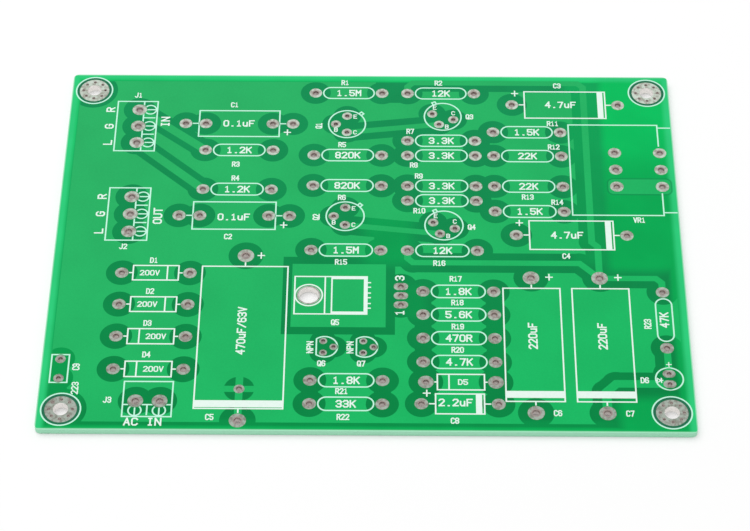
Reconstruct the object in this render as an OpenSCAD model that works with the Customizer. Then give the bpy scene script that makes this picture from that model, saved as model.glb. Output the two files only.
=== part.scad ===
// Bare two-sided preamplifier circuit board: drilled laminate, copper areas under the mask,
// plated holes with tinned lands, and a white ink legend of component outlines.
// Millimetres. Places are measured from the board's near left corner, and the finished board is
// moved so that its origin is the middle of the underside.

/* [Board] */
// Thickness of the plate between its two masked faces
board_t = 1.6; // [0.8:0.1:3.2]
// Radius of the plate's corners
corner_r = 1.2; // [0.4:0.1:4]
// Fixing hole centres in from both edges
fixing_inset = 5.08; // [4.5:0.01:8]
// From the top resistor row to the far edge
far_edge = 5.5; // [5:0.1:10]
// From the potentiometer's outer lands to the right edge
right_edge = 3.17; // [2.5:0.01:8]

/* [Fixing holes] */
// Finished hole, for an M3 screw
fixing_hole_d = 3.2; // [2.2:0.1:4]
// Tinned land round the hole
fixing_land_d = 6.8; // [6:0.1:8]
// Outside of the printed ring
fixing_ring_d = 8.6; // [8.3:0.1:10]
// Circle that the small plated holes lie on
via_circle_d = 5.0; // [4.6:0.1:5.6]
// Finished small hole
via_d = 0.5; // [0.3:0.05:0.7]
// Small holes round each fixing hole
via_count = 8; // [4:1:10]

/* [Copper] */
// Depth of a copper area, which lies level with the mask round it
copper_t = 0.035; // [0.02:0.005:0.07]
// Height of a tinned land above the mask
land_rise = 0.06; // [0.04:0.01:0.15]
// Wall of the plating in a hole
plating_t = 0.1; // [0.05:0.01:0.2]
// Clear gap round lands and tracks in a copper area
clearance = 2.0; // [0.5:0.1:2.4]
// Copper areas stay this far from the edges
pour_margin = 2.0; // [1:0.1:4]
// Width of a track
track_w = 1.5; // [0.6:0.1:2]
// Width of the input tracks
input_track_w = 2.1; // [1.2:0.1:2.6]
// Clear gap beside the input tracks
input_gap = 1.6; // [0.5:0.1:2]
// Slanted corner of a track
track_bend = 1.2; // [0.6:0.1:2]
// Slanted corner of the lamp's track
lamp_bend = 2.2; // [1:0.1:3]
// Width of the track from the lamp to its smoothing capacitor
lamp_track_w = 2.0; // [1:0.1:2.6]
// Width of the short tracks on the underside
link_w = 2.0; // [1:0.1:2.6]
// Width of the potentiometer's link
pot_link_w = 4.4; // [3.4:0.1:4.8]
// How far the potentiometer's link runs past its lands' centres
pot_link_end = 1.9; // [1.6:0.1:2.4]
// Outside of the thermal relief's ring
relief_d = 6.4; // [5:0.1:7.5]
// Width of the relief's spokes
spoke_w = 1.6; // [0.8:0.1:2]
// Bare patch between the first feed resistors, towards the regulator
bare_near = 4.6; // [3.6:0.1:5]
// Bare patch between the first feed resistors, towards the transistors
bare_far = 4.5; // [3.6:0.1:5]
// Bare patch between the last feed resistors, towards the transistors
bare_top = 3.0; // [2:0.1:3.4]
// Regulator's copper square beyond the tab hole, to the left
island_left = 3.7; // [3.3:0.1:4]
// Regulator's copper square beyond the tab hole, to the right
island_right = 16.6; // [14:0.1:16.8]
// Regulator's copper square, along Y
island_w = 17.5; // [12:0.1:18]

/* [Lands and holes] */
// Resistor, diode and tubular capacitor holes
lead_hole_d = 1.2; // [0.8:0.05:1.6]
// Resistor, diode and tubular capacitor lands
lead_land_d = 2.9; // [2.2:0.1:3.2]
// Voltage reference diode lands
zener_land_d = 3.3; // [2.4:0.1:3.6]
// Reservoir capacitor holes
reservoir_hole_d = 1.5; // [1:0.05:2]
// Reservoir capacitor lands
reservoir_land_d = 3.6; // [3:0.1:4]
// Land of the reservoir capacitor's inner place
inner_land_d = 2.3; // [2.1:0.1:3.2]
// Terminal block holes
terminal_hole_d = 1.4; // [1:0.05:1.8]
// Terminal block lands
terminal_land_d = 3.3; // [2.6:0.1:3.8]
// Can transistor holes
can_hole_d = 0.9; // [0.6:0.05:1.2]
// Can transistor lands
can_land_d = 2.3; // [1.8:0.1:2.6]
// Small transistor holes
small_hole_d = 0.8; // [0.6:0.05:1]
// Small transistor lands
small_land_d = 1.7; // [1.4:0.1:2]
// Regulator pin holes
reg_hole_d = 1.1; // [0.9:0.05:1.3]
// Regulator pin lands, along X
reg_land_l = 3.1; // [2.4:0.1:3.6]
// Regulator pin lands, along Y
reg_land_w = 2.0; // [1.7:0.1:2.2]
// Regulator tab hole
tab_hole_d = 4.4; // [3.2:0.1:4.6]
// Land round the tab hole
tab_land_d = 5.2; // [4.9:0.1:5.4]
// Potentiometer holes
pot_hole_d = 1.3; // [0.9:0.05:1.6]
// Potentiometer lands
pot_land_d = 3.0; // [2.2:0.1:3.4]
// Lamp holes
lamp_hole_d = 0.9; // [0.7:0.05:1.1]
// Lamp lands, along X
lamp_land_l = 2.7; // [2.2:0.1:3]
// Lamp lands, along Y
lamp_land_w = 2.0; // [1.7:0.1:2.2]
// Bypass capacitor holes
bypass_hole_d = 0.9; // [0.7:0.05:1.2]
// Bypass capacitor lands
bypass_land_d = 2.2; // [1.7:0.1:2.6]

/* [Lead pitches] */
// Resistors
lead_pitch = 15.24; // [12.7:0.01:17.78]
// Rectifier diodes
diode_pitch = 14.78; // [12.7:0.01:16]
// Voltage reference diode
zener_pitch = 14.7; // [12.7:0.01:16]
// Coupling capacitor
coupling_pitch = 16.1; // [14:0.01:17]
// Film capacitors, inner pair of holes
film_inner_pitch = 15.24; // [12.7:0.01:17]
// Film capacitors, from an inner to the outer hole beside it
film_step = 4.58; // [4:0.01:6]
// Tubular capacitors
tubular_pitch = 24.25; // [22:0.01:26]
// Main reservoir capacitor
main_pitch = 44.6; // [42:0.01:46]
// Main reservoir capacitor, from the outer to the inner negative hole
main_step = 8.2; // [7:0.01:10]
// Smoothing capacitors
smoothing_pitch = 36.35; // [34:0.01:40]
// Terminal blocks
terminal_pitch = 5.08; // [5:0.01:5.5]
// Circle of a can transistor's pins
can_pin_d = 5.08; // [4.8:0.01:5.4]
// Small transistors, between the two outer pins
small_pitch = 3.14; // [2.6:0.01:3.4]
// Small transistors, from the outer pins to the middle one
small_reach = 2.2; // [1.8:0.01:2.4]
// Regulator pins
reg_pitch = 2.54; // [2.3:0.01:2.8]
// Regulator, from the tab hole to the pins
reg_reach = 19.85; // [19:0.01:21]
// Potentiometer pins along Y
pot_pitch = 5.08; // [4.5:0.01:6]
// Potentiometer, between its two rows of pins
pot_depth = 10.16; // [9:0.01:12]
// Lamp
lamp_pitch = 2.7; // [2.5:0.01:3]
// Bypass capacitor
bypass_pitch = 5.08; // [4.5:0.01:6]

/* [Legend] */
// Height of the ink
ink_t = 0.03; // [0.015:0.005:0.05]
// Width of a printed line
line_w = 0.32; // [0.15:0.01:0.45]
// Ink stays this far from every land
ink_gap = 0.12; // [0.05:0.01:0.3]
// Gap between a resistor's outline and its lands
resistor_gap = 0.2; // [0.1:0.05:0.6]
// Resistor outline, across
resistor_w = 3.8; // [3:0.1:4.4]
// Diode outline, along its leads
diode_l = 10.2; // [7:0.1:11]
// Diode outline, across
diode_w = 4.4; // [3:0.1:5]
// Diode's cathode line in from its outline's end
cathode_in = 2.6; // [1.5:0.1:4]
// Film capacitor outline, along X
film_l = 18.6; // [16:0.1:20]
// Film capacitor outline, along Y
film_w = 8.3; // [6:0.1:9]
// Tubular capacitor outline, along its leads
tubular_l = 18.8; // [16:0.1:20]
// Tubular capacitor outline, across
tubular_w = 8.6; // [7:0.1:9]
// Coupling capacitor outline, along its leads
coupling_l = 10.5; // [9:0.1:12]
// Coupling capacitor outline, across
coupling_w = 5.5; // [4.5:0.1:6.2]
// Main reservoir capacitor outline, along its leads
main_l = 38.8; // [34:0.1:40]
// Main reservoir capacitor outline, across
main_w = 18.9; // [16:0.1:19]
// Smoothing capacitor outline, along its leads
smoothing_l = 30.8; // [26:0.1:32]
// Smoothing capacitor outline, across
smoothing_w = 12.6; // [11:0.1:13]
// Solid bar at a capacitor's negative end
bar_w = 1.3; // [0.8:0.1:2]
// Solid bar in from the outline's end
bar_in = 0.65; // [0.4:0.05:1]
// Solid bar of the reservoir capacitors
reservoir_bar_w = 1.8; // [1:0.1:2.4]
// Main reservoir capacitor's bar in from its outline's end
main_bar_in = 0.5; // [0.4:0.05:1]
// Smoothing capacitors' bars in from their outlines' ends
smoothing_bar_in = 1.1; // [0.5:0.05:1.6]
// Can transistor outline
can_d = 8.7; // [8.2:0.1:9.2]
// Can transistor's locating tab
can_tab = 1.1; // [0.8:0.1:1.4]
// Small transistor outline
small_d = 5.8; // [5.2:0.1:6.2]
// Small transistor, from its middle to its flat
small_flat = 1.9; // [1.6:0.1:2.2]
// Regulator outline, along Y
reg_w = 10.7; // [9:0.1:12]
// Regulator's tab end, from the tab hole
reg_tab_l = 3.2; // [3.1:0.1:3.6]
// Regulator's tab shoulder, from the tab hole
reg_neck = 3.5; // [3.3:0.1:4]
// Regulator's case, from the tab hole to its near face
reg_case_in = 4.8; // [4.4:0.1:6]
// Regulator's case, from the tab hole to the pins' face
reg_case_out = 12.7; // [11:0.1:14]
// Heavy line round the regulator's case
reg_heavy_w = 0.85; // [0.4:0.05:1.2]
// Between two of the regulator's printed pin stubs
reg_stub_pitch = 2.9; // [2.5:0.1:3.2]
// Width of a regulator pin's printed stub
reg_stub_w = 1.6; // [1.1:0.1:1.8]
// Length of a regulator pin's printed stub
reg_stub_l = 0.7; // [0.4:0.1:1.5]
// Printed circle round the tab hole
tab_ring_d = 6.2; // [6.1:0.1:6.6]
// Terminal block outline, from the pins to the screws' face
terminal_front = 4.25; // [4:0.05:4.6]
// Terminal block outline, from the pins to its back
terminal_back = 5.2; // [4:0.1:6]
// Terminal block outline, beyond the outer terminals' cells
terminal_end = 0.2; // [0:0.05:0.5]
// Terminal block's inner line, from the pins
terminal_line = 1.0; // [0.7:0.1:1.1]
// Terminal block's screws, from the pins
screw_out = 2.5; // [2.3:0.1:2.7]
// Terminal block's printed screws
screw_d = 3.0; // [2.2:0.1:3.2]
// Gap between a line that parts two terminals and the screws' face
cell_gap = 0.2; // [0.1:0.05:1]
// Potentiometer outline, in from its outer pins
pot_l = 20.5; // [16:0.1:21]
// Potentiometer outline, along Y
pot_w = 27.5; // [24:0.1:30]
// Printed sides of the potentiometer's front, from each corner
pot_front = 6.7; // [5:0.1:7]
// Bush lines in from the potentiometer's sides
bush_in = 1.0; // [0.6:0.1:2]
// Lamp outline
lamp_d = 6.1; // [5.6:0.1:6.4]
// Bypass capacitor outline, across
bypass_w = 4.0; // [3:0.1:4.4]
// Bypass capacitor outline, beyond each hole
bypass_end = 1.3; // [1.2:0.1:1.8]

/* [Columns, left to right] */
// From the left edge to the terminal blocks' pins
terminal_x = 15.88; // [14:0.01:20]
// From the terminal blocks' pins to the film capacitors' outer holes
terminal_to_film = 10.8; // [9.5:0.1:16]
// Input resistors, right of the film capacitors' middle
input_jog = 0.3; // [-1:0.05:1]
// From the film capacitors' outer holes to the left resistors' holes
film_to_left = 4.98; // [4.4:0.01:8]
// From the left resistors' holes to the middle resistors' holes
left_to_mid = 5.86; // [5:0.01:9]
// From the middle resistors' holes to the right resistors' holes
mid_to_right = 4.16; // [4:0.01:8]
// From the middle resistors' holes to the tubular capacitors' holes
mid_to_tubular = 8.64; // [8:0.01:12]
// From the right resistors' holes to the supply rail
right_to_rail = 5.68; // [5:0.01:9]
// From the right resistors' holes to the potentiometer's outline
right_to_pot = 1.69; // [1.6:0.01:4]
// From the left edge to the bypass capacitor
bypass_x = 3.93; // [3.5:0.01:5]
// From the left edge to the rectifier diodes' holes
diode_x = 15.2; // [12:0.01:18]
// From the rectifier diodes' holes to the main capacitor's outline
diode_to_main = 2.5; // [2:0.1:5]
// From the main capacitor's outline to the regulator's copper square
main_to_island = 0.8; // [0.6:0.1:4]
// From the regulator's pins to the supply resistors' holes
reg_to_supply = 4.75; // [4.4:0.01:8]
// From the supply resistors' holes to the first smoothing capacitor's outline
supply_to_smoothing = 1.85; // [1.7:0.05:4]
// Gap between the two smoothing capacitors' outlines
smoothing_gap = 2.25; // [1:0.05:3]
// First small transistor, right of the regulator's tab hole
small_x = 3.7; // [3:0.1:6]
// Between the two small transistors
small_gap = 8.5; // [7.5:0.1:10]
// Base resistors, left holes right of the regulator's tab hole
base_x = 0.8; // [0:0.05:3]
// AC terminal block, right of the diodes' middle
ac_jog = 0.4; // [-1:0.05:1]
// Voltage reference diode, right of the supply resistors' middle
zener_jog = 0.25; // [-1:0.05:1]
// First transistors, right of the left resistors' middle
first_jog = -0.3; // [-1:0.05:1]
// Second transistors, right of the middle resistors' middle
driver_jog = 0.4; // [-1:0.05:1]

/* [Rows, near to far] */
// From the far edge to the supply rail along it
far_rail_in = 2.15; // [2:0.05:3]
// From the supply rail up to the jog in its long run
rail_jog = 4.8; // [4:0.1:6]
// From the near edge to the smoothing capacitors' near holes
smoothing_y = 4.85; // [4.5:0.01:7]
// From the near edge to the main capacitor's near hole
main_y = 2.45; // [2.3:0.01:5]
// From the near edge to the AC terminal block's pins
ac_y = 7.4; // [7:0.01:9]
// From the near edge to the first rectifier diode
diode_y = 15.75; // [15.3:0.01:18]
// Between two rectifier diodes
diode_row = 8.77; // [7:0.01:9]
// From the near edge to the bypass capacitor's middle
bypass_y = 15.75; // [15:0.01:18]
// From the near edge to the base resistors
base_y = 6.9; // [6:0.01:9]
// Between the two base resistors
base_row = 6.15; // [5:0.01:7]
// From the near edge to the small transistors
small_y = 21.95; // [21:0.01:23]
// From the near edge to the regulator's middle
reg_y = 36.05; // [35.6:0.01:37]
// From the near edge to the coupling capacitor
coupling_y = 7.05; // [6.5:0.01:8]
// From the coupling capacitor to the voltage reference diode
zener_row = 5.7; // [5.3:0.01:6.2]
// From the voltage reference diode to the first supply resistor
supply_y = 5.32; // [5:0.01:6]
// Between two supply resistors
supply_row = 6.4; // [5:0.01:6.6]
// From the smoothing capacitors' far holes to the supply rail
rail_y = 4.15; // [4:0.01:6]
// From the supply rail to the first signal row
signal_y = 3.45; // [3.3:0.01:5]
// First and last signal rows
feed_rows = [0, 47.3]; // [0:0.05:60]
// Rows of the film capacitors and first transistors, from the first signal row
channel_rows = [9.8, 37.55]; // [0:0.05:60]
// Rows of the terminal blocks' middles, from the first signal row
terminal_rows = [10.15, 36.65]; // [0:0.05:60]
// Rows of the second transistors, from the first signal row
driver_rows = [7.25, 40.0]; // [0:0.05:60]
// Gaps from the potentiometer's outline to the tubular capacitors' outlines, near and far
pot_to_tubular = [1.4, 1.75]; // [0.8:0.05:3]
// Rows of the input resistors, from the first signal row
input_rows = [17.6, 29.4]; // [0:0.05:60]
// Rows of the bias resistors, from the first signal row
bias_rows = [14.5, 32.55]; // [0:0.05:60]
// Rows of the load resistors, from the first signal row
load_rows = [18.85, 28.0]; // [0:0.05:60]
// Rows of the output resistors, from the first signal row
output_rows = [11.45, 35.3]; // [0:0.05:60]
// Row of the potentiometer's middle, from the first signal row
pot_row = 24.05; // [23:0.05:25]
// From the lamp's upper land to its resistor's near hole
lamp_to_resistor = 6.85; // [5.5:0.05:9]
// From the first smoothing hole's row to the lamp resistor's far hole
lamp_resistor_drop = 3.85; // [3:0.05:5]

/* [Hidden] */
$fn = 48;
// Cutters run this far past a face
past = 0.02;
// Share by which a clear way widens where its track turns
turn_room = 1.04;
// Width of the clear way between neighbouring lands, as a share of their clear radius
joined_share = 1.04;

// Levels of the stack: underside of the lands, masked underside, masked top and top of the lands
z_low = land_rise;
z_top = z_low + board_t;
z_all = z_top + land_rise;

// Columns
film_outer_pitch = film_inner_pitch + 2 * film_step;
film_x = terminal_x + terminal_to_film + film_outer_pitch / 2;
left_x = film_x + film_outer_pitch / 2 + film_to_left + lead_pitch / 2;
mid_x = left_x + lead_pitch + left_to_mid;
right_x = mid_x + lead_pitch + mid_to_right;
tubular_x = mid_x + lead_pitch / 2 + mid_to_tubular + tubular_pitch / 2;
rail_x = right_x + lead_pitch / 2 + right_to_rail;
pot_x = right_x + lead_pitch / 2 + right_to_pot + pot_l - pot_depth;
board_l = pot_x + pot_depth + right_edge;
diodes_x = diode_x + diode_pitch / 2;
main_x = diodes_x + diode_pitch / 2 + diode_to_main + main_w / 2;
tab_x = main_x + main_w / 2 + main_to_island + island_left;
pins_x = tab_x + reg_reach;
supply_x = pins_x + reg_to_supply + lead_pitch / 2;
first_smoothing_x = supply_x + lead_pitch / 2 + supply_to_smoothing + smoothing_w / 2;
last_smoothing_x = first_smoothing_x + smoothing_w + smoothing_gap;
base_mid_x = tab_x + base_x + lead_pitch / 2;
lamp_x = board_l - fixing_inset;

// Rows
smoothing_far = smoothing_y + smoothing_pitch;
rail_row = smoothing_far + rail_y;
signal_row = rail_row + signal_y;
board_w = signal_row + feed_rows[1] + far_edge;
far_rail_y = board_w - far_rail_in;
jog_y = rail_row + rail_jog;
zener_y = coupling_y + zener_row;
first_supply_y = zener_y + supply_y;
lamp_r_far = smoothing_far - lamp_resistor_drop;
lamp_r_near = lamp_r_far - lead_pitch;
lamp_far = lamp_r_near - lamp_to_resistor;
lamp_near = lamp_far - lamp_pitch;

// Footprints: X and Y of the middle, and the turn
resistor_at = concat(
    [for (y = concat(feed_rows, load_rows)) [left_x, signal_row + y, 0]],
    [for (y = concat(feed_rows, load_rows, bias_rows)) [mid_x, signal_row + y, 0]],
    [for (y = concat(load_rows, output_rows)) [right_x, signal_row + y, 0]],
    [for (y = input_rows) [film_x + input_jog, signal_row + y, 0]],
    [for (i = [0:3]) [supply_x, first_supply_y + i * supply_row, 0]],
    [for (i = [0:1]) [base_mid_x, base_y + i * base_row, 0]],
    [[lamp_x, (lamp_r_far + lamp_r_near) / 2, 90]]
);
diode_at = [for (i = [0:3]) [diodes_x, diode_y + i * diode_row, i < 2 ? 180 : 0]];
zener_at = [[supply_x + zener_jog, zener_y, 180]];
film_at = [for (y = channel_rows) [film_x, signal_row + y, 0]];
tubular_at = [
    for (i = [0:1])
        let (out = pot_w / 2 + pot_to_tubular[i] + tubular_w / 2)
            [tubular_x, signal_row + pot_row + (2 * i - 1) * out, 0]
];
coupling_at = [[supply_x, coupling_y, 0]];
main_at = [[main_x, main_y + main_pitch / 2, -90]];
smoothing_at = [
    for (x = [first_smoothing_x, last_smoothing_x]) [x, smoothing_y + smoothing_pitch / 2, -90]
];
driver_turn = 70;
first_at = [for (y = channel_rows) [left_x + first_jog, signal_row + y, 0]];
driver_at = [for (y = driver_rows) [mid_x + driver_jog, signal_row + y, driver_turn]];
can_at = concat(first_at, driver_at);
small_at = [for (i = [0:1]) [tab_x + small_x + i * small_gap, small_y, 0]];
reg_at = [[tab_x, reg_y, 0]];
terminal_at = [for (y = terminal_rows) [terminal_x, signal_row + y, 0]];
ac_at = [[diodes_x + ac_jog, ac_y, -90]];
pot_at = [[pot_x, signal_row + pot_row, 0]];
lamp_at = [[lamp_x, (lamp_far + lamp_near) / 2, 0]];
bypass_at = [[bypass_x, bypass_y, 90]];
fixing_at = [
    for (x = [fixing_inset, board_l - fixing_inset], y = [fixing_inset, board_w - fixing_inset])
        [x, y, 0]
];

// A point turned by an angle about the middle of its footprint
function turned(p, a) = [p[0] * cos(a) - p[1] * sin(a), p[0] * sin(a) + p[1] * cos(a)];

// Where the holes of a footprint fall, for each place that it is used
function spread(at, holes) = [for (c = at, h = holes) [c[0], c[1]] + turned(h, c[2])];

// Two holes on a line, and a row of holes across a footprint
function pair(pitch) = [[-pitch / 2, 0], [pitch / 2, 0]];
function row(n, pitch, x = 0) = [for (i = [0:n - 1]) [x, (i - (n - 1) / 2) * pitch]];

// Pins of a can transistor: emitter, base and collector
can_pins = [for (a = [90, 180, 270]) can_pin_d / 2 * [cos(a), sin(a)]];
small_pins = [
    [-small_reach / 7, small_pitch / 2],
    [-small_reach / 7, -small_pitch / 2],
    [small_reach * 6 / 7, 0]
];

// Holes by component
resistor_holes = spread(resistor_at, pair(lead_pitch));
diode_holes = spread(diode_at, pair(diode_pitch));
zener_holes = spread(zener_at, pair(zener_pitch));
film_holes = spread(film_at, concat(pair(film_inner_pitch), pair(film_outer_pitch)));
tubular_holes = concat(spread(tubular_at, pair(tubular_pitch)), spread(coupling_at, pair(coupling_pitch)));
reservoir_holes = concat(spread(main_at, pair(main_pitch)), spread(smoothing_at, pair(smoothing_pitch)));
inner_holes = spread(main_at, [[main_pitch / 2 - main_step, 0]]);
can_holes = spread(can_at, can_pins);
small_holes = spread(small_at, small_pins);
reg_holes = spread(reg_at, row(3, reg_pitch, reg_reach));
tab_holes = spread(reg_at, [[0, 0]]);
terminal_holes = concat(spread(terminal_at, row(3, terminal_pitch)), spread(ac_at, row(2, terminal_pitch)));
pot_holes = spread(pot_at, concat(row(3, pot_pitch), row(3, pot_pitch, pot_depth)));
lamp_holes = spread(lamp_at, row(2, lamp_pitch));
bypass_holes = spread(bypass_at, pair(bypass_pitch));
fixing_holes = spread(fixing_at, [[0, 0]]);
via_holes = spread(
    fixing_at,
    [for (i = [0:via_count - 1]) via_circle_d / 2 * [cos(360 * i / via_count), sin(360 * i / via_count)]]
);

// Every set of holes with its land and its finished hole
hole_sets = [
    [resistor_holes, lead_land_d, lead_hole_d],
    [diode_holes, lead_land_d, lead_hole_d],
    [zener_holes, zener_land_d, lead_hole_d],
    [film_holes, lead_land_d, lead_hole_d],
    [tubular_holes, lead_land_d, lead_hole_d],
    [reservoir_holes, reservoir_land_d, reservoir_hole_d],
    [inner_holes, inner_land_d, lead_hole_d],
    [can_holes, can_land_d, can_hole_d],
    [small_holes, small_land_d, small_hole_d],
    [reg_holes, reg_land_l, reg_hole_d],
    [tab_holes, tab_land_d, tab_hole_d],
    [terminal_holes, terminal_land_d, terminal_hole_d],
    [pot_holes, pot_land_d, pot_hole_d],
    [lamp_holes, lamp_land_l, lamp_hole_d],
    [bypass_holes, bypass_land_d, bypass_hole_d],
    [fixing_holes, fixing_land_d, fixing_hole_d]
];
// The main capacitor's negative holes join the ground areas, and the regulator's tab its own square
main_negative = [main_x, main_y];
grounded = [main_negative, inner_holes[0], tab_holes[0]];
isolated = [
    for (s = hole_sets, p = s[0])
        if (len([for (g = grounded) if (norm(g - p) < past) g]) == 0) [p, s[1] / 2 + clearance]
];
// Neighbouring lands whose clear rings meet
joined = [
    for (i = [0:len(isolated) - 2], j = [i + 1:len(isolated) - 1])
        let (a = isolated[i], b = isolated[j])
            if (norm(a[0] - b[0]) < a[1] + b[1]) [a[0], b[0], min(a[1], b[1])]
];

// Tracks as centre lines, with slanted corners
mid_left = mid_x - lead_pitch / 2;
plus = [last_smoothing_x, smoothing_far];
minus = [last_smoothing_x, smoothing_y];
far_rail = [
    [mid_left, signal_row + feed_rows[1]],
    [mid_left, far_rail_y - track_bend],
    [mid_left + track_bend, far_rail_y],
    [rail_x - track_bend, far_rail_y],
    [rail_x, far_rail_y - track_bend],
    [rail_x, jog_y + abs(last_smoothing_x - rail_x)],
    [last_smoothing_x, jog_y],
    plus
];
near_rail = [
    [mid_left, signal_row + feed_rows[0]],
    [mid_left, rail_row + track_bend],
    [mid_left + track_bend, rail_row],
    [last_smoothing_x - rail_y, rail_row],
    plus
];
lamp_feed = [
    plus,
    [lamp_x - track_bend, smoothing_far],
    [lamp_x, smoothing_far - track_bend],
    [lamp_x, lamp_r_far]
];
lamp_drop = [[lamp_x, lamp_r_near], [lamp_x, lamp_far]];
lamp_return = [
    [lamp_x, lamp_near],
    [last_smoothing_x + lamp_bend, lamp_near],
    [last_smoothing_x, lamp_near - lamp_bend],
    minus
];
input_y = signal_row + terminal_rows[1];
input_left = film_x + input_jog - lead_pitch / 2;
input_tracks = [
    for (i = [0:1])
        let (y = input_y + (2 * i - 1) * terminal_pitch, end = signal_row + input_rows[i])
            [[terminal_x, y], [input_left, end]]
];
collector_tracks = [
    for (i = [0:1]) [spread([first_at[i]], [can_pins[2]])[0], spread([driver_at[i]], [can_pins[1]])[0]]
];
film_links = [
    for (c = film_at, s = [-1, 1])
        [[c[0] + s * film_inner_pitch / 2, c[1]], [c[0] + s * film_outer_pitch / 2, c[1]]]
];

// Edge of a band: a point of its centre line moved sideways, mitred between the two runs there
function unit(v) = v / norm(v);
function left_of(v) = [-v[1], v[0]];
function mitre(p, i, h) =
    let (
        n = len(p),
        a = left_of(unit(i > 0 ? p[i] - p[i - 1] : p[1] - p[0])),
        b = left_of(unit(i < n - 1 ? p[i + 1] - p[i] : p[n - 1] - p[n - 2])),
        m = unit(a + b)
    ) p[i] + m * h / (m * a);
function band(p, w) = concat(
    [for (i = [0:len(p) - 1]) mitre(p, i, w / 2)],
    [for (i = [len(p) - 1:-1:0]) mitre(p, i, -w / 2)]
);

// Outline of a rectangle with rounded corners, from its near left corner
function rounded(l, w, r, n = 8) = [
    for (c = [[l - r, w - r, 0], [r, w - r, 90], [r, r, 180], [l - r, r, 270]], i = [0:n])
        [c[0] + r * cos(c[2] + 90 * i / n), c[1] + r * sin(c[2] + 90 * i / n)]
];

// Repeats what follows at each footprint
module at_each(places) {
    for (c = places)
        translate([c[0], c[1]])
            rotate(c[2])
                children();
}

// Moves the finished piece so that the origin is the middle of the underside
module placed() {
    translate([-board_l / 2, -board_w / 2, 0])
        children();
}

// Copper, level with the face that it lies in
module copper_top() {
    translate([0, 0, z_top - copper_t])
        linear_extrude(copper_t)
            children();
}
module copper_bottom() {
    translate([0, 0, z_low])
        linear_extrude(copper_t)
            children();
}

// Recess in the laminate for that copper
module recess_top() {
    translate([0, 0, z_top - copper_t])
        linear_extrude(copper_t + past)
            children();
}
module recess_bottom() {
    translate([0, 0, z_low - past])
        linear_extrude(copper_t + past)
            children();
}

// Ground area's outer limit, which stops at the supply rail and at the lamp's tracks
module pour_limit() {
    m = pour_margin;
    polygon([
        [m, m],
        [last_smoothing_x, m],
        [last_smoothing_x, lamp_near],
        [lamp_x, lamp_near],
        [lamp_x, lamp_r_near],
        [board_l - m, lamp_r_near],
        [board_l - m, lamp_r_far],
        [lamp_x, lamp_r_far],
        [lamp_x, smoothing_far],
        [last_smoothing_x, smoothing_far],
        [last_smoothing_x, jog_y],
        [rail_x, jog_y + abs(last_smoothing_x - rail_x)],
        [rail_x, board_w - m],
        [m, board_w - m]
    ]);
}

// Four quarter rings round the inner negative land, which leave its spokes
module relief() {
    translate(inner_holes[0])
        difference() {
            circle(d = relief_d);
            circle(d = inner_land_d);
            square([relief_d * 2, spoke_w], center = true);
            square([spoke_w, relief_d * 2], center = true);
        }
}

// Ring round the near negative land, open on the far side for one spoke
module near_relief() {
    translate(main_negative)
        difference() {
            circle(d = reservoir_land_d + 2 * clearance);
            circle(d = reservoir_land_d);
            translate([-spoke_w / 2, 0])
                square([spoke_w, reservoir_land_d + 2 * clearance]);
        }
}

// What every ground area leaves clear: lands, the ways between them, and reliefs
module land_clearances() {
    for (p = isolated)
        translate(p[0])
            circle(r = p[1]);
    for (b = joined)
        polygon(band([b[0], b[1]], b[2] * joined_share));
    translate([0, fixing_inset])
        square([bypass_x, bypass_y - fixing_inset]);
    relief();
    near_relief();
}

// Bare patches between the feed resistors of the left and middle columns
module bare_patches() {
    x = left_x + lead_pitch / 2 - lead_land_d / 2;
    translate([x, signal_row - bare_near])
        square([mid_left - x, bare_near + bare_far]);
    translate([x, signal_row + feed_rows[1] - bare_top])
        square([mid_left - x, board_w]);
}

module island_shape(extra = 0) {
    translate([tab_x - island_left - extra, reg_y - island_w / 2 - extra])
        square([island_left + island_right + 2 * extra, island_w + 2 * extra]);
}

// Clear way along a track, a little wider where it turns
module keep_clear(path, w) {
    for (i = [1:len(path) - 1])
        polygon(band([path[i - 1], path[i]], w));
    for (i = [1:1:len(path) - 2])
        translate(path[i])
            circle(d = w * turn_room);
}

module pour_top_shape() {
    difference() {
        pour_limit();
        land_clearances();
        bare_patches();
        island_shape(clearance);
        for (t = concat([far_rail, near_rail, lamp_feed, lamp_drop], collector_tracks))
            keep_clear(t, track_w + 2 * clearance);
        for (t = input_tracks)
            keep_clear(t, input_track_w + 2 * input_gap);
        keep_clear(lamp_return, lamp_track_w + 2 * clearance);
    }
}

module pour_bottom_shape() {
    difference() {
        pour_limit();
        land_clearances();
        translate(tab_holes[0])
            circle(d = tab_land_d + 2 * clearance);
        for (t = film_links)
            keep_clear(t, link_w + 2 * clearance);
    }
}

module bands(paths, w) {
    for (p = paths)
        polygon(band(p, w));
}

module pot_link_shape() {
    translate([pot_x - pot_link_end, signal_row + pot_row - pot_pitch - pot_link_w / 2])
        polygon(rounded(pot_depth + 2 * pot_link_end, pot_link_w, corner_r));
}

// Holes as drilled, before plating
module drilled() {
    for (s = hole_sets, p = s[0])
        translate(p)
            circle(d = s[2] + 2 * plating_t);
    for (p = via_holes)
        translate(p)
            circle(d = via_d + 2 * plating_t);
}

// Plated hole with a bevelled land on both faces, as one revolved profile
module plated_hole(hole_d, land_d) {
    r = hole_d / 2;
    rim = land_d / 2;
    rotate_extrude()
        polygon([
            [r, 0],
            [rim - land_rise, 0],
            [rim, z_low],
            [r + plating_t, z_low],
            [r + plating_t, z_top],
            [rim, z_top],
            [rim - land_rise, z_all],
            [r, z_all]
        ]);
}

// Plated hole with oval lands
module oval_hole(hole_d, l, w) {
    difference() {
        union() {
            for (z = [0, z_top])
                translate([0, 0, z])
                    linear_extrude(land_rise)
                        intersection() {
                            circle(d = l);
                            square([l * 2, w], center = true);
                        }
            cylinder(d = hole_d + 2 * plating_t, h = z_all);
        }
        translate([0, 0, -past])
            cylinder(d = hole_d, h = z_all + 2 * past);
    }
}

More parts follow.
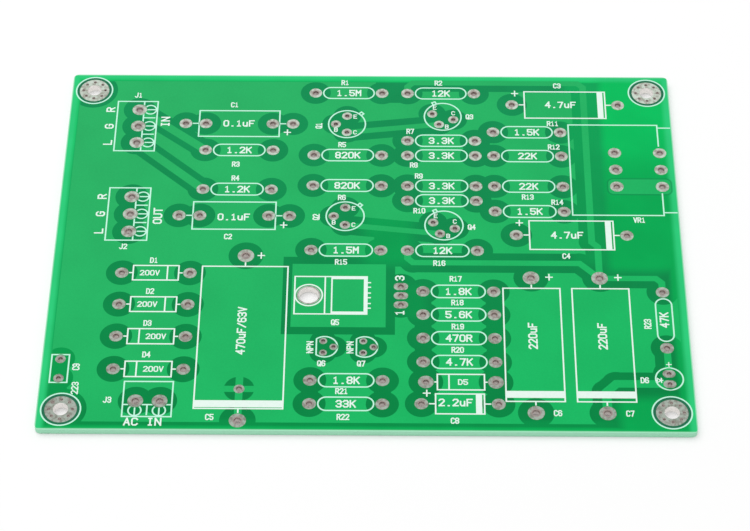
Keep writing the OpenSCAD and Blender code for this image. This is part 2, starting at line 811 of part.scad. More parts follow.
module plated_holes(places, hole_d, land_d) {
    for (p = places)
        translate(p)
            plated_hole(hole_d, land_d);
}

// Ink on the top face, cut back from every land
module ink() {
    translate([0, 0, z_top])
        linear_extrude(ink_t)
            difference() {
                children();
                for (s = hole_sets, p = s[0])
                    translate(p)
                        circle(d = s[1] + 2 * ink_gap);
            }
}

// Printed line round a rectangle
module box_line(l, w) {
    difference() {
        square([l, w], center = true);
        square([l - 2 * line_w, w - 2 * line_w], center = true);
    }
}

// Printed line round a circle
module ring_line(d) {
    difference() {
        circle(d = d);
        circle(d = d - 2 * line_w);
    }
}

// Printed line from one X to another, along a footprint's middle
module lead_line(x0, x1) {
    translate([min(x0, x1), -line_w / 2])
        square([abs(x1 - x0), line_w]);
}

// Printed line across a footprint
module cross_line(x, w, t = line_w) {
    translate([x - t / 2, -w / 2])
        square([t, w]);
}

module resistor_outline() {
    l = lead_pitch - lead_land_d - 2 * resistor_gap;
    r = resistor_w / 2;
    for (s = [-1, 1])
        translate([0, s * (r - line_w / 2)])
            square([l - resistor_w, line_w], center = true);
    for (a = [0, 180])
        rotate(a)
            translate([l / 2 - r, 0])
                intersection() {
                    ring_line(resistor_w);
                    translate([0, -resistor_w])
                        square([resistor_w, 2 * resistor_w]);
                }
}

module diode_outline(pitch) {
    box_line(diode_l, diode_w);
    cross_line(diode_l / 2 - cathode_in, diode_w - line_w);
    for (s = [-1, 1])
        lead_line(s * (diode_l - line_w) / 2, s * pitch / 2);
}

module film_outline() {
    box_line(film_l, film_w);
    for (s = [-1, 1])
        lead_line(s * (film_l - line_w) / 2, s * film_outer_pitch / 2);
}

// Polarised capacitor, with its negative end and its solid bar at the right
module polar_outline(pitch, l, w, bar = bar_w, in = bar_in) {
    box_line(l, w);
    cross_line(l / 2 - in - bar / 2, w - line_w, bar);
    for (s = [-1, 1])
        lead_line(s * (l - line_w) / 2, s * pitch / 2);
}

module can_outline() {
    ring_line(can_d);
    rotate(45)
        translate([can_d / 2 + can_tab / 2 - line_w, 0])
            box_line(can_tab, can_tab);
}

module small_shape(d, flat) {
    intersection() {
        circle(d = d);
        translate([-flat, -d])
            square([2 * d, 2 * d]);
    }
}

module small_outline() {
    difference() {
        small_shape(small_d, small_flat);
        small_shape(small_d - 2 * line_w, small_flat - line_w);
    }
}

module regulator_shape() {
    l = reg_tab_l + reg_case_out;
    case_l = reg_case_out - reg_case_in;
    translate([l / 2 - reg_tab_l, 0])
        box_line(l, reg_w);
    cross_line(reg_neck, reg_w - line_w);
    translate([reg_case_in + case_l / 2, 0])
        difference() {
            square([case_l, reg_w - line_w], center = true);
            translate([(line_w - reg_heavy_w) / 2, 0])
                square([case_l - line_w - reg_heavy_w, reg_w - 2 * reg_heavy_w], center = true);
        }
    for (p = row(3, reg_stub_pitch), s = [-1, 1])
        translate([reg_case_out - line_w / 2, p[1] + s * (reg_stub_w - line_w) / 2 - line_w / 2])
            square([reg_stub_l + line_w / 2, line_w]);
    ring_line(tab_ring_d);
}

module terminal_outline(n) {
    l = n * terminal_pitch + 2 * terminal_end;
    cell = terminal_front - line_w - cell_gap - terminal_line;
    translate([(terminal_front - terminal_back) / 2, 0])
        box_line(terminal_front + terminal_back, l);
    cross_line(terminal_line, l - line_w);
    for (p = row(n, terminal_pitch, screw_out))
        translate(p) {
            ring_line(screw_d);
            square([screw_d - line_w, line_w], center = true);
        }
    for (p = row(n - 1, terminal_pitch, terminal_line))
        translate(p - [0, line_w / 2])
            square([cell, line_w]);
}

module potentiometer_shape() {
    h = pot_w / 2;
    out = pot_depth + right_edge;
    translate([pot_depth - pot_l, -h])
        square([line_w, pot_w]);
    for (s = [-1, 1]) {
        translate([pot_depth - pot_l, s * (h - line_w / 2) - line_w / 2])
            square([pot_l, line_w]);
        translate([pot_depth - line_w, s * (h - pot_front / 2) - pot_front / 2])
            square([line_w, pot_front]);
        translate([pot_depth - line_w, s * (h - bush_in) - line_w / 2])
            square([out - pot_depth, line_w]);
    }
}

// Which piece to draw

mask_green = [0.08, 0.56, 0.30];
copper_green = [0.18, 0.70, 0.40];
tin_grey = [0.76, 0.74, 0.72];
ink_white = [0.88, 1.0, 0.93];

module laminate() {
    color(mask_green)
        placed()
            difference() {
                translate([0, 0, z_low])
                    linear_extrude(board_t)
                        polygon(rounded(board_l, board_w, corner_r));
                translate([0, 0, -past])
                    linear_extrude(z_all + 2 * past)
                        drilled();
                recess_top() pour_top_shape();
                recess_top() bands([far_rail, near_rail, lamp_feed], track_w);
                recess_top() bands(concat(collector_tracks, [lamp_drop]), track_w);
                recess_top() bands(input_tracks, input_track_w);
                recess_top() bands([lamp_return], lamp_track_w);
                recess_top() island_shape();
                recess_top() pot_link_shape();
                recess_bottom() pour_bottom_shape();
                recess_bottom() bands(film_links, link_w);
            }
}

module ground_pour_top() {
    color(copper_green)
        placed()
            copper_top()
                difference() {
                    pour_top_shape();
                    drilled();
                }
}

module supply_rail_top() {
    color(copper_green)
        placed()
            copper_top()
                difference() {
                    bands([far_rail, near_rail, lamp_feed], track_w);
                    drilled();
                }
}

module input_tracks_top() {
    color(copper_green)
        placed()
            copper_top()
                difference() {
                    bands(input_tracks, input_track_w);
                    drilled();
                }
}

module collector_tracks_top() {
    color(copper_green)
        placed()
            copper_top()
                difference() {
                    bands(collector_tracks, track_w);
                    drilled();
                }
}

module regulator_island_top() {
    color(copper_green)
        placed()
            copper_top()
                difference() {
                    island_shape();
                    drilled();
                }
}

module potentiometer_link_top() {
    color(copper_green)
        placed()
            copper_top()
                difference() {
                    pot_link_shape();
                    drilled();
                }
}

module indicator_tracks_top() {
    color(copper_green)
        placed()
            copper_top()
                difference() {
                    union() {
                        bands([lamp_drop], track_w);
                        bands([lamp_return], lamp_track_w);
                    }
                    drilled();
                }
}

module ground_pour_bottom() {
    color(copper_green)
        placed()
            copper_bottom()
                difference() {
                    pour_bottom_shape();
                    drilled();
                }
}

module link_tracks_bottom() {
    color(copper_green)
        placed()
            copper_bottom()
                difference() {
                    bands(film_links, link_w);
                    drilled();
                }
}

module fixing_hole_lands() {
    color(tin_grey)
        placed()
            at_each(fixing_at)
                difference() {
                    union() {
                        plated_hole(fixing_hole_d, fixing_land_d);
                        for (i = [0:via_count - 1])
                            rotate(360 * i / via_count)
                                translate([via_circle_d / 2, 0, z_low - past])
                                    cylinder(d = via_d + 2 * plating_t, h = board_t + 2 * past);
                    }
                    for (i = [0:via_count - 1])
                        rotate(360 * i / via_count)
                            translate([via_circle_d / 2, 0, -past])
                                cylinder(d = via_d, h = z_all + 2 * past);
                }
}

module resistor_lands() {
    color(tin_grey)
        placed()
            plated_holes(resistor_holes, lead_hole_d, lead_land_d);
}

module diode_lands() {
    color(tin_grey)
        placed()
            plated_holes(diode_holes, lead_hole_d, lead_land_d);
}

module zener_lands() {
    color(tin_grey)
        placed()
            plated_holes(zener_holes, lead_hole_d, zener_land_d);
}

module film_capacitor_lands() {
    color(tin_grey)
        placed()
            plated_holes(film_holes, lead_hole_d, lead_land_d);
}

module tubular_capacitor_lands() {
    color(tin_grey)
        placed()
            plated_holes(tubular_holes, lead_hole_d, lead_land_d);
}

module reservoir_capacitor_lands() {
    color(tin_grey)
        placed() {
            plated_holes(reservoir_holes, reservoir_hole_d, reservoir_land_d);
            plated_holes(inner_holes, lead_hole_d, inner_land_d);
        }
}

module can_transistor_lands() {
    color(tin_grey)
        placed()
            plated_holes(can_holes, can_hole_d, can_land_d);
}

module small_transistor_lands() {
    color(tin_grey)
        placed()
            plated_holes(small_holes, small_hole_d, small_land_d);
}

module regulator_lands() {
    color(tin_grey)
        placed()
            for (p = reg_holes)
                translate(p)
                    oval_hole(reg_hole_d, reg_land_l, reg_land_w);
}

module regulator_tab_land() {
    color(tin_grey)
        placed()
            plated_holes(tab_holes, tab_hole_d, tab_land_d);
}

module terminal_lands() {
    color(tin_grey)
        placed()
            plated_holes(terminal_holes, terminal_hole_d, terminal_land_d);
}

module potentiometer_lands() {
    color(tin_grey)
        placed()
            plated_holes(pot_holes, pot_hole_d, pot_land_d);
}

module indicator_lands() {
    color(tin_grey)
        placed()
            for (p = lamp_holes)
                translate(p)
                    oval_hole(lamp_hole_d, lamp_land_l, lamp_land_w);
}

module bypass_capacitor_lands() {
    color(tin_grey)
        placed()
            plated_holes(bypass_holes, bypass_hole_d, bypass_land_d);
}

module resistor_outlines() {
    color(ink_white)
        placed()
            ink()
                at_each(resistor_at)
                    resistor_outline();
}

module diode_outlines() {
    color(ink_white)
        placed()
            ink() {
                at_each(diode_at)
                    diode_outline(diode_pitch);
                at_each(zener_at)
                    diode_outline(zener_pitch);
            }
}

module film_capacitor_outlines() {
    color(ink_white)
        placed()
            ink()
                at_each(film_at)
                    film_outline();
}

module tubular_capacitor_outlines() {
    color(ink_white)
        placed()
            ink() {
                at_each(tubular_at)
                    polar_outline(tubular_pitch, tubular_l, tubular_w);
                at_each(coupling_at)
                    polar_outline(coupling_pitch, coupling_l, coupling_w);
            }
}

module reservoir_capacitor_outlines() {
    color(ink_white)
        placed()
            ink() {
                at_each(main_at)
                    polar_outline(main_pitch, main_l, main_w, reservoir_bar_w, main_bar_in);
                at_each(smoothing_at)
                    polar_outline(
                        smoothing_pitch,
                        smoothing_l,
                        smoothing_w,
                        reservoir_bar_w,
                        smoothing_bar_in
                    );
            }
}

module can_transistor_outlines() {
    color(ink_white)
        placed()
            ink()
                at_each(can_at)
                    can_outline();
}

module small_transistor_outlines() {
    color(ink_white)
        placed()
            ink()
                at_each(small_at)
                    small_outline();
}

module regulator_outline() {
    color(ink_white)
        placed()
            ink()
                at_each(reg_at)
                    regulator_shape();
}

module terminal_outlines() {
    color(ink_white)
        placed()
            ink() {
                at_each(terminal_at)
                    terminal_outline(3);
                at_each(ac_at)
                    terminal_outline(2);
            }
}

module potentiometer_outline() {
    color(ink_white)
        placed()
            ink()
                at_each(pot_at)
                    potentiometer_shape();
}

module indicator_outline() {
    color(ink_white)
        placed()
            ink()
                at_each(lamp_at)
                    ring_line(lamp_d);
}

module bypass_capacitor_outline() {
    color(ink_white)
        placed()
            ink()
                at_each(bypass_at)
                    box_line(bypass_pitch + 2 * bypass_end, bypass_w);
}

module fixing_hole_rings() {
    color(ink_white)
        placed()
            ink()
                at_each(fixing_at)
                    ring_line(fixing_ring_d);
}

laminate();
ground_pour_top();
supply_rail_top();
input_tracks_top();
collector_tracks_top();
regulator_island_top();
potentiometer_link_top();
indicator_tracks_top();
ground_pour_bottom();
link_tracks_bottom();
fixing_hole_lands();
resistor_lands();
diode_lands();
zener_lands();
film_capacitor_lands();
tubular_capacitor_lands();
reservoir_capacitor_lands();
can_transistor_lands();
small_transistor_lands();
regulator_lands();
regulator_tab_land();
terminal_lands();
potentiometer_lands();
indicator_lands();
bypass_capacitor_lands();
resistor_outlines();
diode_outlines();
film_capacitor_outlines();
tubular_capacitor_outlines();
reservoir_capacitor_outlines();
can_transistor_outlines();
small_transistor_outlines();
regulator_outline();
terminal_outlines();
potentiometer_outline();
indicator_outline();
bypass_capacitor_outline();
fixing_hole_rings();
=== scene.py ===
"""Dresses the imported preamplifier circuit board.

The laminate, the copper areas and the printed outlines keep their solids and get their finishes here.
Each lead hole gets a domed ring of tin, and the legend gets its lettering. The stage is a plain white
table under soft light, seen from the front and above.
"""

import math

import bpy
import numpy as np
from mathutils import Matrix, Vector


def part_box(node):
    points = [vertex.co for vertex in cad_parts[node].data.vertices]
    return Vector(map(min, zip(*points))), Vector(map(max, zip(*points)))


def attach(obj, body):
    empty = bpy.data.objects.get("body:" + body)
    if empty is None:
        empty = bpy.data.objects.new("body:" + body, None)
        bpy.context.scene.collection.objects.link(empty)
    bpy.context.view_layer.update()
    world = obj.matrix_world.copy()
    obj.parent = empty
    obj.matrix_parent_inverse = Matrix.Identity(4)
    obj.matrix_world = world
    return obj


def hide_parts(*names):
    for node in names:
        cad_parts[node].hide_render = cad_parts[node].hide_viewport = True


bl_info = {
    "name": "Preamplifier circuit board",
    "version": (1, 0, 0),
    "blender": (4, 5, 0),
    "location": "View3D > Sidebar > Board",
    "description": "Finishes, tinned lands, legend lettering and stage of a bare circuit board",
    "category": "Object",
}

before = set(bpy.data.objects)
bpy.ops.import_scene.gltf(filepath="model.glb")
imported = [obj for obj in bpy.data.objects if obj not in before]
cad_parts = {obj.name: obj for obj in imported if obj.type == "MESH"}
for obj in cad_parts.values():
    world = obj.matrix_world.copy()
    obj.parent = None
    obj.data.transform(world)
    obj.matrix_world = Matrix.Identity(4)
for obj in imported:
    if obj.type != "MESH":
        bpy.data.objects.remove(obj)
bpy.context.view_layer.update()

MM = 0.001
BODY = "root"
INK_LOW, INK_HIGH = (corner.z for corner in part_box("fixing_hole_rings"))
BOARD_LOW, BOARD_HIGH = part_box("laminate")
LAND_LOW, LAND_HIGH = (corner.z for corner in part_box("fixing_hole_lands"))

# Corner radius of the potentiometer link, and where the painted shade beside it starts and is full.
LINK_CORNER = 1.2 * MM
LINK_SHADE = (0.50 * MM, 0.10 * MM)
# Radii between which the mask gives way to the bare ring round a fixing land.
BARE_RING = (4.15 * MM, 3.9 * MM)
# A hole with a smaller radius than this shows thin reddish tin and painted shade on its edge.
NARROW_HOLE = 1.0 * MM
# Pitch of the glass cloth's threads and of its layers, and the wave texture's scale for bands 1 m apart.
CLOTH_PITCH = 0.55 * MM
PLY_PITCH = 0.2 * MM
BAND_SCALE = 0.314
# Where the pale lip along the plate's edges starts and is full, inside the edge, and where the paler
# top of a cut side does, below the face.
EDGE_LIP = (0.34 * MM, 0.10 * MM)
PALE_TOP = (0.30 * MM, 0.06 * MM)
# Half the depth of the board over which the greens and the tin change from the back to the front.
HALF_DEPTH = 50 * MM
# Where the green of the open areas starts to brighten towards the back, and where it is brightest.
OPEN_RAMP = (20 * MM, 32 * MM)
# How far from the middle, on the slant, the mask over copper is free of its painted shade and has all of
# it.
FAR_SHADE_REACH = 80 * MM
# Faces of a tin dome, and of a small hole's rim, are shaded as one below these angles.
DOME_SMOOTH = math.radians(50)
RIM_SMOOTH = math.radians(60)
# The least divisor of a mitre, which keeps a sharp bend from running out to a spike.
MITRE_LIMIT = 0.6
# Brightness of the lit table, and of its plain white.
TABLE_TONE = 0.96
TABLE_WHITE = 1.04
# Width of the camera's sensor, in millimetres.
SENSOR_WIDTH = 36.0

# Copper areas and tracks under the mask.
COPPER_NODES = [
    "ground_pour_top",
    "supply_rail_top",
    "input_tracks_top",
    "collector_tracks_top",
    "regulator_island_top",
    "potentiometer_link_top",
    "indicator_tracks_top",
    "ground_pour_bottom",
    "link_tracks_bottom",
]

# Lands with lead holes, which get domed tin.
LAND_NODES = [
    "resistor_lands",
    "diode_lands",
    "zener_lands",
    "film_capacitor_lands",
    "tubular_capacitor_lands",
    "reservoir_capacitor_lands",
    "can_transistor_lands",
    "small_transistor_lands",
    "regulator_lands",
    "regulator_tab_land",
    "terminal_lands",
    "potentiometer_lands",
    "indicator_lands",
    "bypass_capacitor_lands",
]

# Printed outlines with solid bars, in the ink of the letters.
BARRED_NODES = [
    "diode_outlines",
    "tubular_capacitor_outlines",
    "reservoir_capacitor_outlines",
    "regulator_outline",
]

# Printed outlines of thin lines alone.
LINED_NODES = [
    "resistor_outlines",
    "film_capacitor_outlines",
    "can_transistor_outlines",
    "small_transistor_outlines",
    "terminal_outlines",
    "potentiometer_outline",
    "indicator_outline",
    "bypass_capacitor_outline",
    "fixing_hole_rings",
]

# Strokes of the plotted letters, on a cell 4 wide and 6 high. Several letters share a round outline or
# a stem with a bowl.
ROUND = [(1, 0), (3, 0), (4, 1), (4, 5), (3, 6), (1, 6), (0, 5), (0, 1), (1, 0)]
BOWL = [(0, 0), (0, 6), (3, 6), (4, 5), (4, 4), (3, 3), (0, 3)]
LETTERS = {
    "0": [ROUND],
    "1": [[(0.8, 5), (2, 6), (2, 0)], [(0.8, 0), (3.2, 0)]],
    "2": [[(0, 5), (1, 6), (3, 6), (4, 5), (4, 4), (0, 0)], [(0, 0), (4, 0)]],
    "3": [
        [(0, 5), (1, 6), (3, 6), (4, 5), (4, 4), (3, 3), (1.4, 3)],
        [(3, 3), (4, 2), (4, 1), (3, 0), (1, 0), (0, 1)],
    ],
    "4": [[(3, 0), (3, 6)], [(3, 6), (0, 2)], [(0, 2), (4, 2)]],
    "5": [[(4, 6), (0, 6), (0, 3.4), (3, 3.4), (4, 2.4), (4, 1), (3, 0), (1, 0), (0, 1)]],
    "6": [
        [(4, 5), (3, 6), (1, 6), (0, 5), (0, 1), (1, 0), (3, 0), (4, 1), (4, 2.4), (3, 3.4), (0, 3.4)]
    ],
    "7": [[(0, 6), (4, 6)], [(4, 6), (1.5, 0)]],
    "8": [
        [(1, 3), (0, 4), (0, 5), (1, 6), (3, 6), (4, 5), (4, 4), (3, 3), (1, 3)],
        [(1, 3), (0, 2), (0, 1), (1, 0), (3, 0), (4, 1), (4, 2), (3, 3)],
    ],
    "9": [
        [(0, 1), (1, 0), (3, 0), (4, 1), (4, 5), (3, 6), (1, 6), (0, 5), (0, 3.6), (1, 2.6), (4, 2.6)]
    ],
    "A": [[(0, 0), (2, 6)], [(2, 6), (4, 0)], [(0.7, 2), (3.3, 2)]],
    "B": [BOWL, [(3, 3), (4, 2), (4, 1), (3, 0), (0, 0)]],
    "C": [[(4, 5), (3, 6), (1, 6), (0, 5), (0, 1), (1, 0), (3, 0), (4, 1)]],
    "D": [[(0, 0), (0, 6), (2.6, 6), (4, 4.6), (4, 1.4), (2.6, 0), (0, 0)]],
    "E": [[(4, 6), (0, 6), (0, 0), (4, 0)], [(0, 3), (3, 3)]],
    "F": [[(4, 6), (0, 6), (0, 0)], [(0, 3), (3, 3)]],
    "G": [[(4, 5), (3, 6), (1, 6), (0, 5), (0, 1), (1, 0), (3, 0), (4, 1), (4, 3), (2.4, 3)]],
    "I": [[(2, 6), (2, 0)], [(1, 6), (3, 6)], [(1, 0), (3, 0)]],
    "J": [[(3.6, 6), (3.6, 1), (2.6, 0), (1, 0), (0, 1)]],
    "K": [[(0, 0), (0, 6)], [(4, 6), (0, 2.4)], [(1.3, 3.6), (4, 0)]],
    "L": [[(0, 6), (0, 0), (4, 0)]],
    "M": [[(0, 0), (0, 6)], [(0, 6), (2, 3)], [(2, 3), (4, 6)], [(4, 6), (4, 0)]],
    "N": [[(0, 0), (0, 6)], [(0, 6), (4, 0)], [(4, 0), (4, 6)]],
    "O": [ROUND],
    "P": [BOWL],
    "Q": [ROUND, [(2.4, 1.6), (4.2, -0.2)]],
    "R": [BOWL, [(2, 3), (4, 0)]],
    "T": [[(0, 6), (4, 6)], [(2, 6), (2, 0)]],
    "U": [[(0, 6), (0, 1), (1, 0), (3, 0), (4, 1), (4, 6)]],
    "V": [[(0, 6), (2, 0)], [(2, 0), (4, 6)]],
    "u": [[(0.2, 4), (0.2, 1), (1.2, 0), (2.4, 0), (3.6, 1.2)], [(3.6, 4), (3.6, 0)]],
    ".": [[(1.7, 0), (2.3, 0)]],
    "/": [[(0, 0), (4, 6)]],
    "+": [[(-1, 3), (5, 3)], [(2, 0), (2, 6)]],
    ">": [
        [(-0.5, 0.4), (3.5, 3), (-0.5, 5.6), (-0.5, 0.4)],
        [(4, 0.4), (4, 5.6)],
        [(-2, 3), (-0.5, 3)],
        [(4, 3), (5.5, 3)],
    ],
    " ": [],
}
CELL = (4.0, 6.0)

# Each resistor: designator, its place, value, and the place that the outline is looked for near.
# Places are in millimetres from the board's middle, to the right and away from the front.
RESISTORS = [
    ("R1", (-5.8, 48.6), "1.5M", (-4.9, 45.3)),
    ("R2", (15.7, 48.6), "12K", (16.2, 45.3)),
    ("R3", (-30.0, 23.1), "1.2K", (-29.4, 27.4)),
    ("R4", (-29.9, 18.9), "1.2K", (-29.4, 15.6)),
    ("R5", (-6.2, 29.2), "820K", (-4.9, 26.0)),
    ("R6", (-6.0, 13.3), "820K", (-4.9, 16.8)),
    ("R7", (9.2, 33.4), "3.3K", (16.2, 30.5)),
    ("R8", (10.0, 23.1), "3.3K", (16.2, 26.0)),
    ("R9", (11.1, 19.8), "3.3K", (16.2, 16.8)),
    ("R10", (11.2, 9.5), "3.3K", (16.2, 12.5)),
    ("R11", (41.6, 36.0), "1.5K", (35.6, 33.3)),
    ("R12", (41.6, 28.8), "22K", (35.6, 26.0)),
    ("R13", (35.3, 13.7), "22K", (35.6, 16.8)),
    ("R14", (41.8, 12.2), "1.5K", (35.6, 9.4)),
    ("R15", (-5.9, -5.4), "1.5M", (-4.9, -2.0)),
    ("R16", (15.5, -5.6), "12K", (16.2, -2.0)),
    ("R17", (19.0, -10.0), "1.8K", (19.5, -13.2)),
    ("R18", (19.3, -16.6), "5.6K", (19.5, -19.7)),
    ("R19", (19.3, -23.2), "470R", (19.5, -26.2)),
    ("R20", (19.2, -29.5), "4.7K", (19.5, -32.4)),
    ("R21", (-5.2, -40.6), "1.8K", (-4.3, -37.4)),
    ("R22", (-4.8, -47.3), "33K", (-4.3, -43.9)),
]

# Other designators with their places, and a quarter turn where the letters run up the board.
DESIGNATORS = [
    ("R23", (59.8, -22.2), 90),
    ("C1", (-31.0, 41.4), 0),
    ("C2", (-30.8, 1.7), 0),
    ("C3", (43.0, 47.9), 0),
    ("C4", (43.2, -3.4), 0),
    ("C5", (-32.5, -47.5), 0),
    ("C6", (39.8, -46.0), 0),
    ("C7", (54.8, -46.0), 0),
    ("C8", (18.4, -48.1), 0),
    ("C9", (-61.2, -34.6), 90),
    ("D1", (-46.6, -5.2), 0),
    ("D2", (-46.9, -13.9), 0),
    ("D3", (-46.9, -22.7), 0),
    ("D4", (-46.6, -31.2), 0),
    ("D6", (58.3, -37.3), 0),
    ("Q1", (-11.6, 35.0), 90),
    ("Q2", (-11.6, 7.5), 90),
    ("Q3", (22.7, 38.0), 0),
    ("Q4", (22.7, 4.8), 0),
    ("Q5", (-6.9, -22.2), 0),
    ("Q6", (-9.6, -33.3), 0),
    ("Q7", (-1.2, -33.3), 0),
    ("J1", (-53.2, 44.3), 0),
    ("J2", (-53.6, -1.3), 0),
    ("J3", (-54.0, -43.2), 0),
    ("VR1", (59.7, 7.1), 0),
]

# Values that stand in or beside the other outlines.
VALUES = [
    ("0.1uF", (-29.8, 35.6), 0),
    ("0.1uF", (-29.8, 7.4), 0),
    ("4.7uF", (43.6, 41.9), 0),
    ("4.7uF", (43.6, 2.6), 0),
    ("470uF/63V", (-26.8, -24.6), 90),
    ("220uF", (35.2, -25.6), 90),
    ("220uF", (50.0, -25.6), 90),
    ("2.2uF", (18.6, -43.4), 0),
    ("47K", (63.4, -21.1), 90),
]

# Words and letters that name the connections.
CONNECTIONS = [
    ("R", (-59.3, 39.7), 90),
    ("G", (-59.3, 34.5), 90),
    ("L", (-59.3, 29.5), 90),
    ("R", (-59.3, 13.2), 90),
    ("G", (-59.3, 8.1), 90),
    ("L", (-59.3, 3.1), 90),
    ("IN", (-46.6, 36.0), 90),
    ("OUT", (-46.6, 7.6), 90),
    ("AC IN", (-46.3, -48.8), 0),
    ("3", (6.9, -9.9), 90),
    ("1", (6.9, -19.5), 90),
]

# Marks at the positive leads.
POLARITY = [
    (-18.7, 32.9),
    (-18.7, 5.1),
    (-23.3, -3.7),
    (33.2, 45.4),
    (33.2, 6.1),
    (39.2, -9.4),
    (54.1, -9.4),
    (12.6, -41.0),
]

# Ratings, kinds and the indicator's sign, printed in or beside the smaller outlines.
RATINGS = [
    ("200V", (-47.3, -8.75), 0),
    ("200V", (-47.3, -17.5), 0),
    ("200V", (-44.9, -26.3), 0),
    ("200V", (-44.9, -35.05), 0),
    ("D5", (20.2, -38.05), 0),
    (">", (61.4, -37.3), 0),
    ("223", (-61.0, -40.2), 90),
    ("NPN", (-12.1, -29.0), 90),
    ("NPN", (-3.6, -29.0), 90),
]

# Letters of the can transistors' leads, and the indicator's polarity mark.
PIN_LETTERS = [
    ("+", (63.6, -33.1), 0),
    ("E", (-3.35, 37.9), 0),
    ("B", (-7.7, 33.75), 0),
    ("C", (-3.35, 33.0), 0),
    ("E", (-3.35, 10.1), 0),
    ("B", (-7.7, 5.95), 0),
    ("C", (-3.35, 5.3), 0),
    ("E", (14.8, 40.8), 0),
    ("B", (17.5, 34.9), 0),
    ("C", (19.0, 39.1), 0),
    ("E", (14.8, 8.0), 0),
    ("B", (17.5, 2.2), 0),
    ("C", (19.0, 6.4), 0),
]

# Areas with little or no copper on either face: left, right, front and back in millimetres, the width
# of their soft edges, and the share of light that comes through.
OPEN_AREAS = [
    (52.2, 90.0, -7.5, 90.0, 4.0, 1.0),
    (52.5, 90.0, -90.0, -42.0, 4.0, 1.0),
    (65.4, 90.0, -90.0, 90.0, 1.6, 0.95),
    (44.5, 90.0, -6.0, 90.0, 3.0, 0.38),
    (-90.0, -59.8, -90.0, -26.0, 4.0, 0.5),
    (-1.0, 9.5, -6.0, 9.0, 5.0, 0.6),
    (7.5, 12.5, -21.0, -12.0, 3.0, 0.25),
    (25.0, 29.5, -38.0, -19.0, 3.0, 0.2),
]

# Light that comes in at the plate's edges, and the pale margin along them, both painted light: the edge,
# the distances inside it at which the effect starts and is full, in millimetres, and its share.
EDGE_LIGHT = [
    ("side", 2.4, 1.5, 1.0),
    ("far", 2.4, 1.5, 1.0),
    ("near", 1.7, 0.6, 1.0),
    ("near", 3.4, 2.2, 0.25),
]
EDGE_MARGIN = [
    ("side", 2.4, 0.8, 1.0),
    ("far", 2.2, 0.6, 0.95),
    ("near", 0.8, 0.0, 0.4),
]


class BoardFinish(bpy.types.PropertyGroup):
    """Colours of the board's materials, as linear values."""

    gap_green: bpy.props.FloatVectorProperty(
        name="Gap green",
        description="Mask over laminate that has copper on its other face",
        subtype="COLOR",
        default=(0.006, 0.283, 0.090),
    )
    # The gap green, darker towards the front.
    near_green: bpy.props.FloatVectorProperty(
        name="Near green",
        description="The same, darker towards the front",
        subtype="COLOR",
        default=(0.001, 0.245, 0.060),
    )
    open_green: bpy.props.FloatVectorProperty(
        name="Open green",
        description="Mask over laminate that light passes through",
        subtype="COLOR",
        default=(0.0015, 0.455, 0.099),
    )
    # Mask close to the edges, brightened with painted light that comes in at them.
    margin_green: bpy.props.FloatVectorProperty(
        name="Margin green",
        description="Mask close to the edges of the plate",
        subtype="COLOR",
        default=(0.029, 0.625, 0.206),
    )
    edge_green: bpy.props.FloatVectorProperty(
        name="Edge green",
        description="Cut fibre on the sides of the plate",
        subtype="COLOR",
        default=(0.430, 0.855, 0.600),
    )
    copper_green: bpy.props.FloatVectorProperty(
        name="Copper green",
        description="Mask over copper",
        subtype="COLOR",
        default=(0.0105, 0.500, 0.130),
    )
    # Mask over copper with painted shade, towards the far left corner.
    far_shade_green: bpy.props.FloatVectorProperty(
        name="Far shade green",
        description="Mask over copper with painted shade, towards the far left corner",
        subtype="COLOR",
        default=(0.0245, 0.444, 0.131),
    )
    tin: bpy.props.FloatVectorProperty(
        name="Tin",
        description="Tinned lands and plated holes",
        subtype="COLOR",
        default=(0.455, 0.525, 0.46),
    )
    barrel: bpy.props.FloatVectorProperty(
        name="Barrel",
        description="Plated walls of the holes",
        subtype="COLOR",
        default=(0.82, 0.79, 0.76),
    )
    # Thin reddish tin with painted shade, at the edges of narrow holes.
    knee: bpy.props.FloatVectorProperty(
        name="Knee",
        description="Thin reddish tin with painted shade on the edges of the holes",
        subtype="COLOR",
        default=(0.38, 0.305, 0.285),
    )
    ring_green: bpy.props.FloatVectorProperty(
        name="Ring green",
        description="Laminate without mask beside a fixing land",
        subtype="COLOR",
        default=(0.020, 0.170, 0.085),
    )
    line_ink: bpy.props.FloatVectorProperty(
        name="Line ink",
        description="Printed thin lines, which the green shows through",
        subtype="COLOR",
        default=(0.60, 0.99, 0.81),
    )
    ink: bpy.props.FloatVectorProperty(
        name="Ink",
        description="Printed bars and letters",
        subtype="COLOR",
        default=(0.86, 0.99, 0.92),
    )


class BoardLands(bpy.types.PropertyGroup):
    """Shape of the tin on a plated hole."""

    sides: bpy.props.IntProperty(
        name="Sides",
        description="Steps round a land",
        default=24,
        min=12,
    )
    plating: bpy.props.FloatProperty(
        name="Plating",
        description="Wall of the plating in a hole",
        default=0.1 * MM,
        unit="LENGTH",
    )
    via_circle: bpy.props.FloatProperty(
        name="Circle of small holes",
        description="Radius of the circle that the small holes of a fixing land lie on",
        default=2.5 * MM,
        unit="LENGTH",
    )
    via_count: bpy.props.IntProperty(
        name="Small holes",
        description="Small plated holes round a fixing hole",
        default=8,
    )
    via_rim: bpy.props.FloatProperty(
        name="Rim of a small hole",
        description="Outer radius of the tin raised round a small hole",
        default=0.46 * MM,
        unit="LENGTH",
    )
    via_hole: bpy.props.FloatProperty(
        name="Small hole",
        description="Radius of a small hole",
        default=0.25 * MM,
        unit="LENGTH",
    )
    via_rise: bpy.props.FloatProperty(
        name="Rise of a rim",
        description="Height of a small hole's rim above its land",
        default=0.05 * MM,
        unit="LENGTH",
    )


